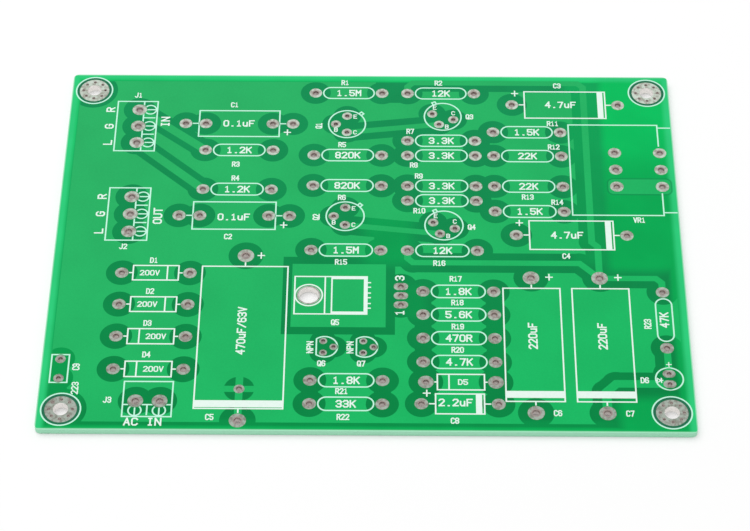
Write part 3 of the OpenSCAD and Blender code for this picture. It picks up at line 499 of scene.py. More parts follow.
class BoardLegend(bpy.types.PropertyGroup):
    """Sizes of the printed letters."""

    designator_height: bpy.props.FloatProperty(
        name="Designator height",
        description="Height of the component designators",
        default=1.3 * MM,
        unit="LENGTH",
    )
    value_height: bpy.props.FloatProperty(
        name="Value height",
        description="Height of the component values",
        default=1.65 * MM,
        unit="LENGTH",
    )
    connection_height: bpy.props.FloatProperty(
        name="Connection height",
        description="Height of the words beside the terminals",
        default=1.7 * MM,
        unit="LENGTH",
    )
    pin_height: bpy.props.FloatProperty(
        name="Pin letter height",
        description="Height of the letters beside the transistors' leads",
        default=1.05 * MM,
        unit="LENGTH",
    )
    rating_height: bpy.props.FloatProperty(
        name="Rating height",
        description="Height of the ratings in the diode outlines",
        default=1.25 * MM,
        unit="LENGTH",
    )
    mark_height: bpy.props.FloatProperty(
        name="Polarity mark height",
        description="Height of the marks at the positive leads",
        default=1.5 * MM,
        unit="LENGTH",
    )
    slimness: bpy.props.FloatProperty(
        name="Slimness",
        description="Width of a letter as a share of its height",
        default=0.60,
    )
    advance: bpy.props.FloatProperty(
        name="Advance",
        description="Step from letter to letter as a share of the height",
        default=0.88,
    )
    squeeze: bpy.props.FloatProperty(
        name="Squeeze",
        description="Share of the full letter width and step that the designators have",
        default=0.78,
    )
    stretch: bpy.props.FloatProperty(
        name="Stretch",
        description="Share of the full letter width and step that the words at the terminals have",
        default=1.08,
    )
    weight: bpy.props.FloatProperty(
        name="Weight",
        description="Width of a stroke as a share of the height",
        default=0.2,
    )
    step: bpy.props.FloatProperty(
        name="Step",
        description="Rise of the ink from point to point of a letter, so that no two strokes lie level",
        default=0.001 * MM,
        unit="LENGTH",
    )


class BoardStage(bpy.types.PropertyGroup):
    """Camera, light and table."""

    focal_length: bpy.props.FloatProperty(
        name="Focal length",
        description="Lens, in millimetres on a 36 mm sensor",
        default=124.46,
        subtype="DISTANCE_CAMERA",
    )
    elevation: bpy.props.FloatProperty(
        name="Elevation",
        description="Angle of the view above the table",
        default=math.radians(50.12),
        subtype="ANGLE",
    )
    heading: bpy.props.FloatProperty(
        name="Heading",
        description="Turn of the view to the right",
        default=math.radians(0.554),
        subtype="ANGLE",
    )
    roll: bpy.props.FloatProperty(
        name="Roll",
        description="Turn of the camera about its own line of sight",
        default=math.radians(-0.113),
        subtype="ANGLE",
    )
    aim: bpy.props.FloatVectorProperty(
        name="Aim",
        description="Point of the board in the middle of the view",
        size=3,
        default=(1.51 * MM, -6.34 * MM, BOARD_HIGH.z),
        subtype="XYZ",
    )
    distance: bpy.props.FloatProperty(
        name="Distance",
        description="From the aim to the camera",
        default=563.5 * MM,
        unit="LENGTH",
    )
    fill: bpy.props.FloatProperty(
        name="Fill light",
        description="Even light from all round",
        default=0.62,
    )
    lamp_power: bpy.props.FloatProperty(
        name="Lamp power",
        description="Power of the large soft lamp, in watts",
        default=5.6,
    )
    lamp_size: bpy.props.FloatProperty(
        name="Lamp size",
        description="Diameter of the soft lamp",
        default=0.9,
        unit="LENGTH",
    )
    lamp_place: bpy.props.FloatVectorProperty(
        name="Lamp place",
        description="Middle of the soft lamp, which looks at the board's middle",
        size=3,
        default=(-0.35, 0.35, 1.0),
        subtype="XYZ",
    )
    table_reach: bpy.props.FloatProperty(
        name="Table reach",
        description="From the board's middle to the sides of the table",
        default=3.0,
        unit="LENGTH",
    )
    table_drop: bpy.props.FloatProperty(
        name="Table drop",
        description="From the undersides of the fixing lands down to the table",
        default=0.07 * MM,
        unit="LENGTH",
    )
    table_glow: bpy.props.FloatProperty(
        name="Table whiteness",
        description="Share of plain white in the table as the camera sees it",
        default=0.66,
        subtype="FACTOR",
    )
    shade_reach: bpy.props.FloatProperty(
        name="Shade reach",
        description="How far from the board the table loses some of its plain white",
        default=3.0 * MM,
        unit="LENGTH",
    )


GROUPS = {
    "board_finish": BoardFinish,
    "board_lands": BoardLands,
    "board_legend": BoardLegend,
    "board_stage": BoardStage,
}


def put(tree, kind, values=None, **settings):
    """Adds a node, with its settings and with values or other nodes' outputs in its inputs."""
    made = tree.nodes.new(kind)
    for key, value in settings.items():
        setattr(made, key, value)
    for key, value in (values or {}).items():
        if isinstance(value, bpy.types.NodeSocket):
            tree.links.new(value, made.inputs[key])
        else:
            made.inputs[key].default_value = value
    return made


def maths(tree, operation, first, second=0.0):
    """The result of one sum on two numbers or outputs."""
    return put(tree, "ShaderNodeMath", {0: first, 1: second}, operation=operation).outputs[0]


def greatest(tree, *values):
    """The greatest of several numbers or outputs."""
    found, *others = values
    for value in others:
        found = maths(tree, "MAXIMUM", found, value)
    return found


def square_sum(tree, steps):
    """The sum of the squares of two outputs."""
    return maths(tree, "ADD", *(maths(tree, "MULTIPLY", step, step) for step in steps))


def ease(tree, value, start, end, low=0.0, high=1.0):
    """A soft step from low to high while the value goes from start to end."""
    step = put(
        tree,
        "ShaderNodeMapRange",
        {"Value": value, "From Min": start, "From Max": end, "To Min": low, "To Max": high},
        interpolation_type="SMOOTHSTEP",
    )
    return step.outputs["Result"]


def rise(tree, value, middle, width):
    """A soft step of the given width about a middle, both in millimetres."""
    return ease(tree, value, (middle - width / 2) * MM, (middle + width / 2) * MM)


def mixed(tree, share, first, second):
    """A colour that goes from the first to the second with the share."""
    mix = put(tree, "ShaderNodeMix", {0: share, 6: first, 7: second}, data_type="RGBA")
    return mix.outputs[2]


def brightened(tree, colour, gain):
    """A colour whose brightness is multiplied by a number or output."""
    return put(tree, "ShaderNodeHueSaturation", {"Color": colour, "Value": gain}).outputs[0]


def flatness(tree, start, end):
    """A soft step on how nearly a face looks straight up or down."""
    normal = put(tree, "ShaderNodeNewGeometry").outputs["True Normal"]
    facing = put(tree, "ShaderNodeSeparateXYZ", {0: normal}).outputs[2]
    return ease(tree, maths(tree, "ABSOLUTE", facing), start, end)


def bands(tree, place, direction, pitch, distortion, detail):
    """Values from 0 to 1 in soft bands that follow each other along an axis at a pitch."""
    wave = put(
        tree,
        "ShaderNodeTexWave",
        {"Vector": place, "Scale": BAND_SCALE / pitch, "Distortion": distortion, "Detail": detail},
        bands_direction=direction,
    )
    return wave.outputs["Fac"]


def noise(tree, place, size, detail=2.0):
    """Soft irregular values from 0 to 1, with lumps of about the given size in metres."""
    lumps = put(
        tree, "ShaderNodeTexNoise", {"Vector": place, "Scale": 1.0 / size, "Detail": detail}
    )
    return lumps.outputs["Fac"]


def rgba(colour, gain=1.0):
    """A colour value for a node's input."""
    return (*(channel * gain for channel in colour), 1.0)


def tinted(colour, shares):
    """A colour value with each channel multiplied by its own share."""
    return rgba([channel * share for channel, share in zip(colour, shares)])


def outside(tree, axes, node, corner):
    """How far a place lies outside a CAD node's box, whose corners have the given radius.

    On each axis it is the step beyond the straight part of the side, and the two steps' length less
    the radius is the distance.
    """
    steps = []
    for axis, low, high in zip(axes, *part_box(node)):
        step = maths(tree, "ABSOLUTE", maths(tree, "SUBTRACT", axis, (low + high) / 2))
        beyond = maths(tree, "SUBTRACT", step, (high - low) / 2 - corner)
        steps.append(maths(tree, "MAXIMUM", beyond, 0.0))
    return maths(tree, "SUBTRACT", maths(tree, "SQRT", square_sum(tree, steps)), corner)


def bare_rings(tree, axes):
    """1 in the rings round the fixing holes, which lie evenly about the board's middle.

    The distance from the nearest hole is the length of the two steps from its middle, and its square
    is compared with the squares of the radii.
    """
    corner = np.abs(solids("fixing_hole_lands")[0]).max(axis=0)
    steps = [
        maths(tree, "SUBTRACT", maths(tree, "ABSOLUTE", axis), float(middle))
        for axis, middle in zip(axes, corner)
    ]
    outer, inner = BARE_RING
    return ease(tree, square_sum(tree, steps), outer**2, inner**2)


def along_edges(tree, inside, edges):
    """The greatest of the soft steps that are listed for the edges, by the distance inside each edge."""
    steps = [
        ease(tree, inside[edge], start * MM, full * MM, 0.0, share)
        for edge, start, full, share in edges
    ]
    return greatest(tree, *steps)


def new_material(name, **sockets):
    """A material with one surface shader, whose even values are set on its own sockets."""
    material = bpy.data.materials.new(name)
    material.use_nodes = True
    tree = material.node_tree
    surface = tree.nodes["Principled BSDF"]
    for key, value in sockets.items():
        surface.inputs[key.replace("_", " ")].default_value = value
    place = put(tree, "ShaderNodeTexCoord").outputs["Object"]
    return material, tree, surface, place


def feed(tree, surface, colour, roughness, height, depth):
    """Joins a colour, a roughness and a bump of the given depth to the surface."""
    tree.links.new(colour, surface.inputs["Base Color"])
    tree.links.new(roughness, surface.inputs["Roughness"])
    bump = put(
        tree, "ShaderNodeBump", {"Height": height, "Distance": depth, "Strength": 1.0}
    )
    tree.links.new(bump.outputs["Normal"], surface.inputs["Normal"])


def light_through(tree, across, away, inside):
    """The share of light that comes through the plate, along its edges and in the open areas."""
    lit = along_edges(tree, inside, EDGE_LIGHT)
    for left, right, front, back, soft, share in OPEN_AREAS:
        sides = maths(tree, "MULTIPLY", rise(tree, across, left, soft), rise(tree, across, right, -soft))
        ends = maths(tree, "MULTIPLY", rise(tree, away, front, soft), rise(tree, away, back, -soft))
        area = maths(tree, "MULTIPLY", sides, ends)
        lit = maths(tree, "MAXIMUM", lit, maths(tree, "MULTIPLY", area, share))
    return lit


def mask_green(tree, finish, across, away):
    """The mask's green on the plate's faces.

    It is brighter where light comes through and paler in the margin, both painted light. Beside the
    potentiometer link it is darker with painted shade, and in the rings round the fixing lands it is
    darker; a pale lip runs along the edges.
    """
    inside = {
        "side": maths(tree, "SUBTRACT", BOARD_HIGH.x, maths(tree, "ABSOLUTE", across)),
        "far": maths(tree, "SUBTRACT", BOARD_HIGH.y, away),
        "near": maths(tree, "SUBTRACT", away, BOARD_LOW.y),
    }
    frontward = ease(tree, away, HALF_DEPTH, -HALF_DEPTH)
    closed = mixed(tree, frontward, rgba(finish.gap_green), rgba(finish.near_green))
    backward = ease(tree, away, *OPEN_RAMP, 0.90, 1.17)
    through = brightened(tree, rgba(finish.open_green), backward)
    green = mixed(tree, light_through(tree, across, away, inside), closed, through)
    # Painted light in the margin along the edges.
    margin = along_edges(tree, inside, EDGE_MARGIN)
    green = mixed(tree, margin, green, rgba(finish.margin_green))
    # Painted shade beside the potentiometer link's edge.
    link_gap = outside(tree, (across, away), "potentiometer_link_top", LINK_CORNER)
    shade = ease(tree, link_gap, *LINK_SHADE, 0.0, 0.7)
    green = mixed(tree, shade, green, rgba(finish.gap_green, 0.85))
    green = mixed(tree, bare_rings(tree, (across, away)), green, rgba(finish.ring_green))
    ends = maths(tree, "MINIMUM", inside["far"], inside["near"])
    lip = ease(tree, maths(tree, "MINIMUM", inside["side"], ends), *EDGE_LIP, 0.0, 0.8)
    return mixed(tree, lip, green, rgba(finish.edge_green))


def cut_side(tree, finish, place, up):
    """The colour of the plate's cut sides, which is paler at the top, and the height of their layers.

    The layers are bands of cloth with fibres drawn out along them.
    """
    plies = bands(tree, place, "Z", PLY_PITCH, 1.2, 2.0)
    drawn_out = put(tree, "ShaderNodeMapping", {"Vector": place, "Scale": (0.12, 0.12, 1.0)})
    fibre = noise(tree, drawn_out.outputs[0], 0.12 * MM, 3.0)
    layers = maths(
        tree, "ADD", maths(tree, "MULTIPLY", plies, 0.14), maths(tree, "MULTIPLY", fibre, 0.22)
    )
    side = brightened(tree, rgba(finish.edge_green), maths(tree, "ADD", layers, 0.82))
    top = ease(tree, up, *(BOARD_HIGH.z - depth for depth in PALE_TOP))
    return mixed(tree, top, side, rgba(finish.edge_green, 1.25)), layers


def laminate_material(finish):
    """Green mask over glass fibre, with the weave of the cloth in its faces and pale cut sides.

    Two crossed rows of bands, multiplied, give the weave.
    """
    material, tree, surface, place = new_material("masked_laminate", Specular_IOR_Level=0.05)
    across, away, up = put(tree, "ShaderNodeSeparateXYZ", {0: place}).outputs
    threads = [bands(tree, place, axis, CLOTH_PITCH, 0.6, 1.0) for axis in ("X", "Y")]
    weave = maths(tree, "MULTIPLY", *threads)
    clouds = ease(tree, noise(tree, place, 9 * MM), 0.3, 0.7, 0.955, 1.03)
    tone = maths(tree, "ADD", clouds, maths(tree, "MULTIPLY", weave, 0.035))
    face = brightened(tree, mask_green(tree, finish, across, away), tone)
    side, layers = cut_side(tree, finish, place, up)
    flat = flatness(tree, 0.3, 0.7)
    peel = noise(tree, place, 0.8 * MM)
    grain = maths(tree, "ADD", peel, maths(tree, "MULTIPLY", weave, 0.4))
    gloss = ease(tree, peel, 0.3, 0.7, 0.30, 0.38)
    rough = maths(tree, "ADD", gloss, ease(tree, flat, 0.0, 1.0, 0.34, 0.0))
    colour = mixed(tree, flat, side, face)
    feed(tree, surface, colour, rough, mixed(tree, flat, layers, grain), 0.006 * MM)
    return material


def copper_material(finish):
    """Green mask over copper foil, with soft clouds and the fine unevenness of a sprayed film.

    It has painted shade towards the far left corner, along a slant of half the way across less the way
    back.
    """
    material, tree, surface, place = new_material("masked_copper", Specular_IOR_Level=0.05)
    across, away, _ = put(tree, "ShaderNodeSeparateXYZ", {0: place}).outputs
    slant = maths(tree, "SUBTRACT", maths(tree, "MULTIPLY", across, 0.5), away)
    # Painted shade: full at the far left end of the slant, gone at its other end.
    unshaded_share = ease(tree, slant, -FAR_SHADE_REACH, FAR_SHADE_REACH)
    film = mixed(tree, unshaded_share, rgba(finish.far_shade_green), rgba(finish.copper_green))
    clouds = ease(tree, noise(tree, place, 14 * MM), 0.3, 0.7, -0.035, 0.035)
    grain = ease(tree, noise(tree, place, 0.35 * MM, 3.0), 0.3, 0.7, 0.975, 1.025)
    green = brightened(tree, film, maths(tree, "ADD", clouds, grain))
    peel = noise(tree, place, 0.9 * MM)
    feed(tree, surface, green, ease(tree, peel, 0.3, 0.7, 0.30, 0.38), peel, 0.006 * MM)
    return material


def tin_material(finish):
    """Hot-levelled tin: silver, slightly uneven in height and gloss, with darker and warmer patches.

    Its brighter patches are painted glints on the tin's own mottle. It is darker towards the front and
    pale on the walls of the holes. On the edge of a narrow hole, where the points carry a knee value,
    it is thin and reddish, with painted shade that darkens it.
    """
    material, tree, surface, place = new_material("tin", Metallic=1.0)
    patches = noise(tree, place, 0.7 * MM, 3.0)
    ripples = noise(tree, place, 0.45 * MM, 2.0)
    warm = tinted(finish.tin, (0.80, 0.70, 0.68))
    # Painted glints: the patches brighten the tin by 1.30 in some places, and darken and warm it in
    # others.
    colour = mixed(tree, ease(tree, patches, 0.35, 0.7), rgba(finish.tin, 1.30), warm)
    away = put(tree, "ShaderNodeSeparateXYZ", {0: place}).outputs[1]
    # Darker towards the front.
    colour = brightened(tree, colour, ease(tree, away, -HALF_DEPTH, HALF_DEPTH, 0.68, 1.04))
    colour = mixed(tree, flatness(tree, 0.5, 0.2), colour, rgba(finish.barrel))
    # Painted shade: the knee value darkens and reddens the tin at a narrow hole's edge.
    knee = put(tree, "ShaderNodeAttribute", attribute_name="knee").outputs["Fac"]
    colour = mixed(tree, knee, colour, rgba(finish.knee))
    feed(tree, surface, colour, ease(tree, patches, 0.3, 0.7, 0.24, 0.44), ripples, 0.05 * MM)
    return material


def ink_material(name, colour):
    """Screen-printed ink: matt white with thin and thick places."""
    material, tree, surface, place = new_material(name, Specular_IOR_Level=0.1)
    cover = noise(tree, place, 0.5 * MM, 3.0)
    thin = tinted(colour, (0.92, 0.98, 0.95))
    shade = mixed(tree, ease(tree, cover, 0.25, 0.6), thin, rgba(colour))
    feed(tree, surface, shade, ease(tree, cover, 0.3, 0.7, 0.5, 0.7), cover, 0.008 * MM)
    return material


def letter_ink(finish):
    """Ink of the bars and letters."""
    return ink_material("letter_ink", finish.ink)


def line_ink(finish):
    """Ink of the thin lines."""
    return ink_material("line_ink", finish.line_ink)


def finish_nodes(nodes, material):
    """Gives CAD nodes a material in place of their packed ones."""
    for node in nodes:
        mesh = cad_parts[node].data
        mesh.materials.clear()
        mesh.materials.append(material)


def made_once(name, maker):
    """The material of that name, made from the scene's colours when first asked for."""
    return bpy.data.materials.get(name) or maker(bpy.context.scene.board_finish)


def solids(node):
    """The middles, half sizes and hole radii of a CAD node's separate solids, as arrays.

    Corners at one place count as one. Each takes the lowest label among its triangles' corners until
    no label changes, and the corners with one label are one solid. Its hole's radius is the smallest
    distance from its middle to a corner.
    """
    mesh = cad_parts[node].data
    corners = np.empty(len(mesh.vertices) * 3)
    mesh.vertices.foreach_get("co", corners)
    mesh.calc_loop_triangles()
    triangles = np.empty(len(mesh.loop_triangles) * 3, np.int32)
    mesh.loop_triangles.foreach_get("vertices", triangles)
    places, index = np.unique(corners.reshape(-1, 3).round(6), axis=0, return_inverse=True)
    triangles = index.reshape(-1)[triangles].reshape(-1, 3)
    label = np.arange(len(places))
    settled = False
    while not settled:
        lowest = label.copy()
        np.minimum.at(lowest, triangles, label[triangles].min(axis=1, keepdims=True))
        lowest = lowest[lowest]
        settled = np.array_equal(lowest, label)
        label = lowest
    names, group = np.unique(label, return_inverse=True)
    low = np.full((len(names), 3), np.inf)
    high = -low
    np.minimum.at(low, group, places)
    np.maximum.at(high, group, places)
    middle = ((low + high) / 2)[:, :2]
    reach = np.hypot(*(places[:, :2] - middle[group]).T)
    hole = np.full(len(names), np.inf)
    np.minimum.at(hole, group, reach)
    return middle, ((high - low) / 2)[:, :2], hole


def ring_faces(count, rows, columns):
    """Quads of closed rings, each a grid of points that joins up in both directions."""
    here = np.arange(count * rows * columns).reshape(count, rows, columns)
    beside = np.roll(here, -1, axis=2)
    corners = [here, beside, np.roll(beside, -1, axis=1), np.roll(here, -1, axis=1)]
    return np.stack(corners, axis=-1).reshape(-1, 4)


def tin_rings(middle, half, hole, plating, sides):
    """Closed rings of tin on plated holes.

    Round the hole an angle runs over three loops: the hole's circle, the drilled circle and the
    land's outline, which is a circle drawn out along its longer side. Across it a profile goes from
    the hole's lip over a low dome to the rim, back under the rim to the drilled wall, and the same on
    the other face. Each profile point is a mix of the three loops at a height, with a knee value that
    falls from a narrow hole's edge outwards. Returns points, faces and the points' knee values.
    """
    turn = np.linspace(0.0, 2 * np.pi, sides, endpoint=False) + np.pi / sides
    unit = np.stack([np.cos(turn), np.sin(turn)], axis=-1)
    short = half.min(axis=1)[:, None, None]
    outline = unit * short + np.sign(unit) * (half[:, None, :] - short)
    circle = unit * hole[:, None, None]
    drilled = unit * (hole + plating)[:, None, None]
    loops = np.stack([circle, drilled, outline], axis=1)
    proud = LAND_HIGH - BOARD_HIGH.z
    # Shares of the three loops, height as a share of the land's rise, and knee value.
    dome = np.array(
        [
            (1.0, 0.0, 0.0, -0.4, 0.65),
            (0.95, 0.0, 0.05, 0.62, 1.0),
            (0.78, 0.0, 0.22, 1.0, 0.75),
            (0.58, 0.0, 0.42, 1.0, 0.0),
            (0.07, 0.0, 0.93, 0.60, 0.0),
            (0.0, 0.0, 1.0, 0.0, 0.0),
            (0.0, 1.0, 0.0, 0.0, 0.0),
        ]
    )
    mix = np.concatenate([dome[:, :3], dome[::-1, :3]])
    upper = BOARD_HIGH.z + proud * dome[:, 3]
    lower = BOARD_LOW.z - proud * dome[::-1, 3]
    height = np.concatenate([upper, lower])
    flat = np.einsum("pl,nlsk->npsk", mix, loops) + middle[:, None, None, :]
    level = np.broadcast_to(height[None, :, None, None], (*flat.shape[:3], 1))
    points = np.concatenate([flat, level], axis=-1)
    knee = np.concatenate([dome[:, 4], dome[::-1, 4]])
    narrow = (hole < NARROW_HOLE)[:, None, None]
    knee = np.broadcast_to(knee[None, :, None] * narrow, flat.shape[:3])
    return points.reshape(-1, 3), ring_faces(len(middle), len(mix), sides), knee.reshape(-1)


def via_rims(middle, lands):
    """Low collars of tin round the small holes of the fixing lands.

    The small holes lie evenly on a circle round each fixing hole. A collar's profile goes from the
    hole's edge over a rounded crown to its foot on the land, and back under it to the hole, on both
    faces. Returns points, faces and knee values that grow towards the hole.
    """
    spot = 2 * np.pi * np.arange(lands.via_count) / lands.via_count
    ring = lands.via_circle * np.stack([np.cos(spot), np.sin(spot)], axis=-1)
    centre = (middle[:, None, :] + ring).reshape(-1, 2)
    sides = lands.sides // 2
    turn = np.linspace(0.0, 2 * np.pi, sides, endpoint=False)
    unit = np.stack([np.cos(turn), np.sin(turn)], axis=-1)
    share = np.array([0.0, 0.3, 0.7, 1.0])
    crown = np.array([0.2, 1.0, 0.8, 0.0])
    radius = lands.via_hole + (lands.via_rim - lands.via_hole) * share
    flat = centre[:, None, None, :] + radius[:, None, None] * unit
    upper = np.concatenate([LAND_HIGH + lands.via_rise * crown, [LAND_HIGH - lands.via_rise]])
    flat = np.concatenate([flat, flat[:, :1]], axis=1)
    level = np.broadcast_to(upper[None, :, None, None], (*flat.shape[:3], 1))
    top = np.concatenate([flat, level], axis=-1)
    under = np.concatenate([flat, LAND_HIGH + LAND_LOW - level], axis=-1)[:, ::-1]
    points = np.concatenate([top, under])
    thin = np.array([1.0, 1.0, 0.5, 0.0, 1.0])
    knee = np.concatenate([
        np.broadcast_to(row[None, :, None], top.shape[:3]) for row in (thin, thin[::-1])
    ])
    return points.reshape(-1, 3), ring_faces(len(points), len(upper), sides), knee.reshape(-1)


def stroke_list(labels, height, width, advance):
    """Every stroke of the labels as points on the board's face.

    A label is written from left to right in cells of one size, centred on its place, and turned about
    it. Returns for each stroke its points, whether it closes on itself, and its points' ranks among
    all points of its letter.
    """
    size = np.array([width / CELL[0], height / CELL[1]])
    found = []
    for text, place, turn in labels:
        angle = math.radians(turn)
        spin = np.array(
            [[math.cos(angle), math.sin(angle)], [-math.sin(angle), math.cos(angle)]]
        )
        for position, letter in enumerate(text):
            shift = np.array([advance * (position - (len(text) - 1) / 2), 0.0])
            rank = 0
            for stroke in LETTERS[letter]:
                closed = stroke[0] == stroke[-1]
                drawn = np.array(stroke[:-1] if closed else stroke)
                drawn = ((drawn - np.array(CELL) / 2) * size + shift) @ spin
                ranks = rank + np.arange(len(drawn))
                found.append((drawn + np.array(place) * MM, closed, ranks))
                rank += len(drawn)
    return found


def printed(strokes, width, low, high, step):
    """Flat bars of ink along strokes.

    A four-cornered profile is carried along each stroke. At a bend its side is mitred: the two sides'
    normals are added and divided by one more than their product. An open stroke runs on by half its
    width at both ends and is capped, and a closed one joins its own start. The top rises by one step
    from point to point, so that no two strokes of a letter lie at one level where they cross.
    """
    counts = np.array([len(points) for points, _, _ in strokes])
    closed = np.repeat([shut for _, shut, _ in strokes], counts)
    tops = high + step * (1 + np.concatenate([ranks for _, _, ranks in strokes]))
    first = np.repeat(np.cumsum(counts) - counts, counts)
    last = np.repeat(np.cumsum(counts) - 1, counts)
    points = np.concatenate([points for points, _, _ in strokes])
    here = np.arange(len(points))
    starts, ends = (here == first) & ~closed, (here == last) & ~closed
    following = np.where(here == last, np.where(closed, first, here), here + 1)
    previous = np.where(here == first, np.where(closed, last, here), here - 1)
    ahead = points[following] - points
    behind = points - points[previous]
    ahead[ends], behind[starts] = behind[ends], ahead[starts]
    ahead /= np.linalg.norm(ahead, axis=1, keepdims=True)
    behind /= np.linalg.norm(behind, axis=1, keepdims=True)
    left = np.stack([-ahead[:, 1], ahead[:, 0]], axis=-1)
    left_before = np.stack([-behind[:, 1], behind[:, 0]], axis=-1)
    spread = np.maximum(1.0 + (left * left_before).sum(axis=1, keepdims=True), MITRE_LIMIT)
    offset = (left + left_before) / spread * width / 2
    points = points + ahead * (ends[:, None] * width / 2) - behind * (starts[:, None] * width / 2)
    flat = np.stack([points + offset, points + offset, points - offset, points - offset], axis=1)
    feet = np.full(len(points), low)
    level = np.stack([feet, tops, tops, feet], axis=1)[..., None]
    corners = np.concatenate([flat, level], axis=-1).reshape(-1, 3)
    run = here[following != here]
    side = np.arange(4)
    near, far = 4 * run[:, None], 4 * following[run][:, None]
    bars = np.stack(
        [near + side, near + (side + 1) % 4, far + (side + 1) % 4, far + side], axis=-1
    ).reshape(-1, 4)
    caps = [4 * here[starts][:, None] + side[::-1], 4 * here[ends][:, None] + side]
    return corners, np.concatenate([bars, *caps])


def new_piece(name, points, faces, material, smooth=None):
    """Makes an object from points and quads, at the origin, and rides it on the board.

    Faces that meet at less than the smooth angle are shaded as one surface.
    """
    mesh = bpy.data.meshes.new(name)
    mesh.from_pydata(points.tolist(), [], faces.tolist())
    mesh.materials.append(material)
    if smooth is not None:
        mesh.shade_smooth()
        mesh.set_sharp_from_angle(angle=smooth)
    mesh.update()
    made = bpy.data.objects.new(name, mesh)
    bpy.context.scene.collection.objects.link(made)
    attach(made, BODY)
    return made


def shade_knees(piece, knee):
    """Gives a piece's points their knee values."""
    values = piece.data.attributes.new("knee", "FLOAT", "POINT")
    values.data.foreach_set("value", knee.astype(np.float32))


def new_lettering(name, labels, height, squeeze=1.0):
    """Prints labels on the board's face as one piece."""
    legend = bpy.context.scene.board_legend
    wide = height * squeeze
    strokes = stroke_list(labels, height, wide * legend.slimness, wide * legend.advance)
    points, faces = printed(strokes, height * legend.weight, INK_LOW, INK_HIGH, legend.step)
    return new_piece(name, points, faces, made_once("letter_ink", letter_ink))


def nearest(middles, place):
    """The one of several middles that lies nearest to a place, all in millimetres."""
    return middles[np.hypot(*(middles - np.array(place)).T).argmin()]


def frame_of(right, up, back, place):
    """The matrix with these three axes at a place."""
    matrix = np.eye(4)
    matrix[:3] = np.column_stack([right, up, back, place])
    return Matrix(matrix.tolist())


class BOARD_OT_laminate(bpy.types.Operator):
    """Finishes the drilled plate"""

    bl_idname = "board.laminate"
    bl_label = "Laminate"

    def execute(self, context):
        finish_nodes(["laminate"], laminate_material(context.scene.board_finish))
        return {"FINISHED"}


class BOARD_OT_copper(bpy.types.Operator):
    """Finishes the copper areas and tracks under the mask"""

    bl_idname = "board.copper"
    bl_label = "Copper"

    def execute(self, context):
        finish_nodes(COPPER_NODES, copper_material(context.scene.board_finish))
        return {"FINISHED"}


class BOARD_OT_fixing_lands(bpy.types.Operator):
    """Tins the fixing lands and raises a rim round each of their small holes"""

    bl_idname = "board.fixing_lands"
    bl_label = "Fixing lands"

    def execute(self, context):
        tin = made_once("tin", tin_material)
        finish_nodes(["fixing_hole_lands"], tin)
        points, faces, knee = via_rims(solids("fixing_hole_lands")[0], context.scene.board_lands)
        rims = new_piece("small_hole_rims", points, faces, tin, RIM_SMOOTH)
        shade_knees(rims, knee)
        return {"FINISHED"}


class BOARD_OT_component_lands(bpy.types.Operator):
    """Puts domed tin on every lead hole, in place of the flat lands"""

    bl_idname = "board.component_lands"
    bl_label = "Component lands"

    def execute(self, context):
        lands = context.scene.board_lands
        tin = made_once("tin", tin_material)
        for node in LAND_NODES:
            points, faces, knee = tin_rings(*solids(node), lands.plating, lands.sides)
            rings = new_piece("tinned_" + node, points, faces, tin, DOME_SMOOTH)
            shade_knees(rings, knee)
            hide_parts(node)
        return {"FINISHED"}


class BOARD_OT_outlines(bpy.types.Operator):
    """Inks the printed component outlines"""

    bl_idname = "board.outlines"
    bl_label = "Outlines"

    def execute(self, context):
        finish_nodes(BARRED_NODES, made_once("letter_ink", letter_ink))
        finish_nodes(LINED_NODES, made_once("line_ink", line_ink))
        return {"FINISHED"}


class BOARD_OT_designators(bpy.types.Operator):
    """Prints the component designators"""

    bl_idname = "board.designators"
    bl_label = "Designators"

    def execute(self, context):
        legend = context.scene.board_legend
        labels = [(name, place, 0) for name, place, _, _ in RESISTORS] + DESIGNATORS
        new_lettering("legend_designators", labels, legend.designator_height, legend.squeeze)
        return {"FINISHED"}


class BOARD_OT_values(bpy.types.Operator):
    """Prints the component values in their outlines"""

    bl_idname = "board.values"
    bl_label = "Values"

    def execute(self, context):
        legend = context.scene.board_legend
        middles = solids("resistor_outlines")[0] / MM
        labels = [(value, nearest(middles, place), 0) for _, _, value, place in RESISTORS]
        new_lettering("legend_values", labels + VALUES, legend.value_height)
        new_lettering("legend_ratings", RATINGS, legend.rating_height)
        return {"FINISHED"}


class BOARD_OT_connections(bpy.types.Operator):
    """Prints the words and letters of the connections, the lead letters and the polarity marks"""

    bl_idname = "board.connections"
    bl_label = "Connections"

    def execute(self, context):
        legend = context.scene.board_legend
        new_lettering(
            "legend_connections", CONNECTIONS, legend.connection_height, legend.stretch
        )
        new_lettering("legend_leads", PIN_LETTERS, legend.pin_height)
        marks = [("+", place, 0) for place in POLARITY]
        new_lettering("legend_polarity", marks, legend.mark_height)
        return {"FINISHED"}


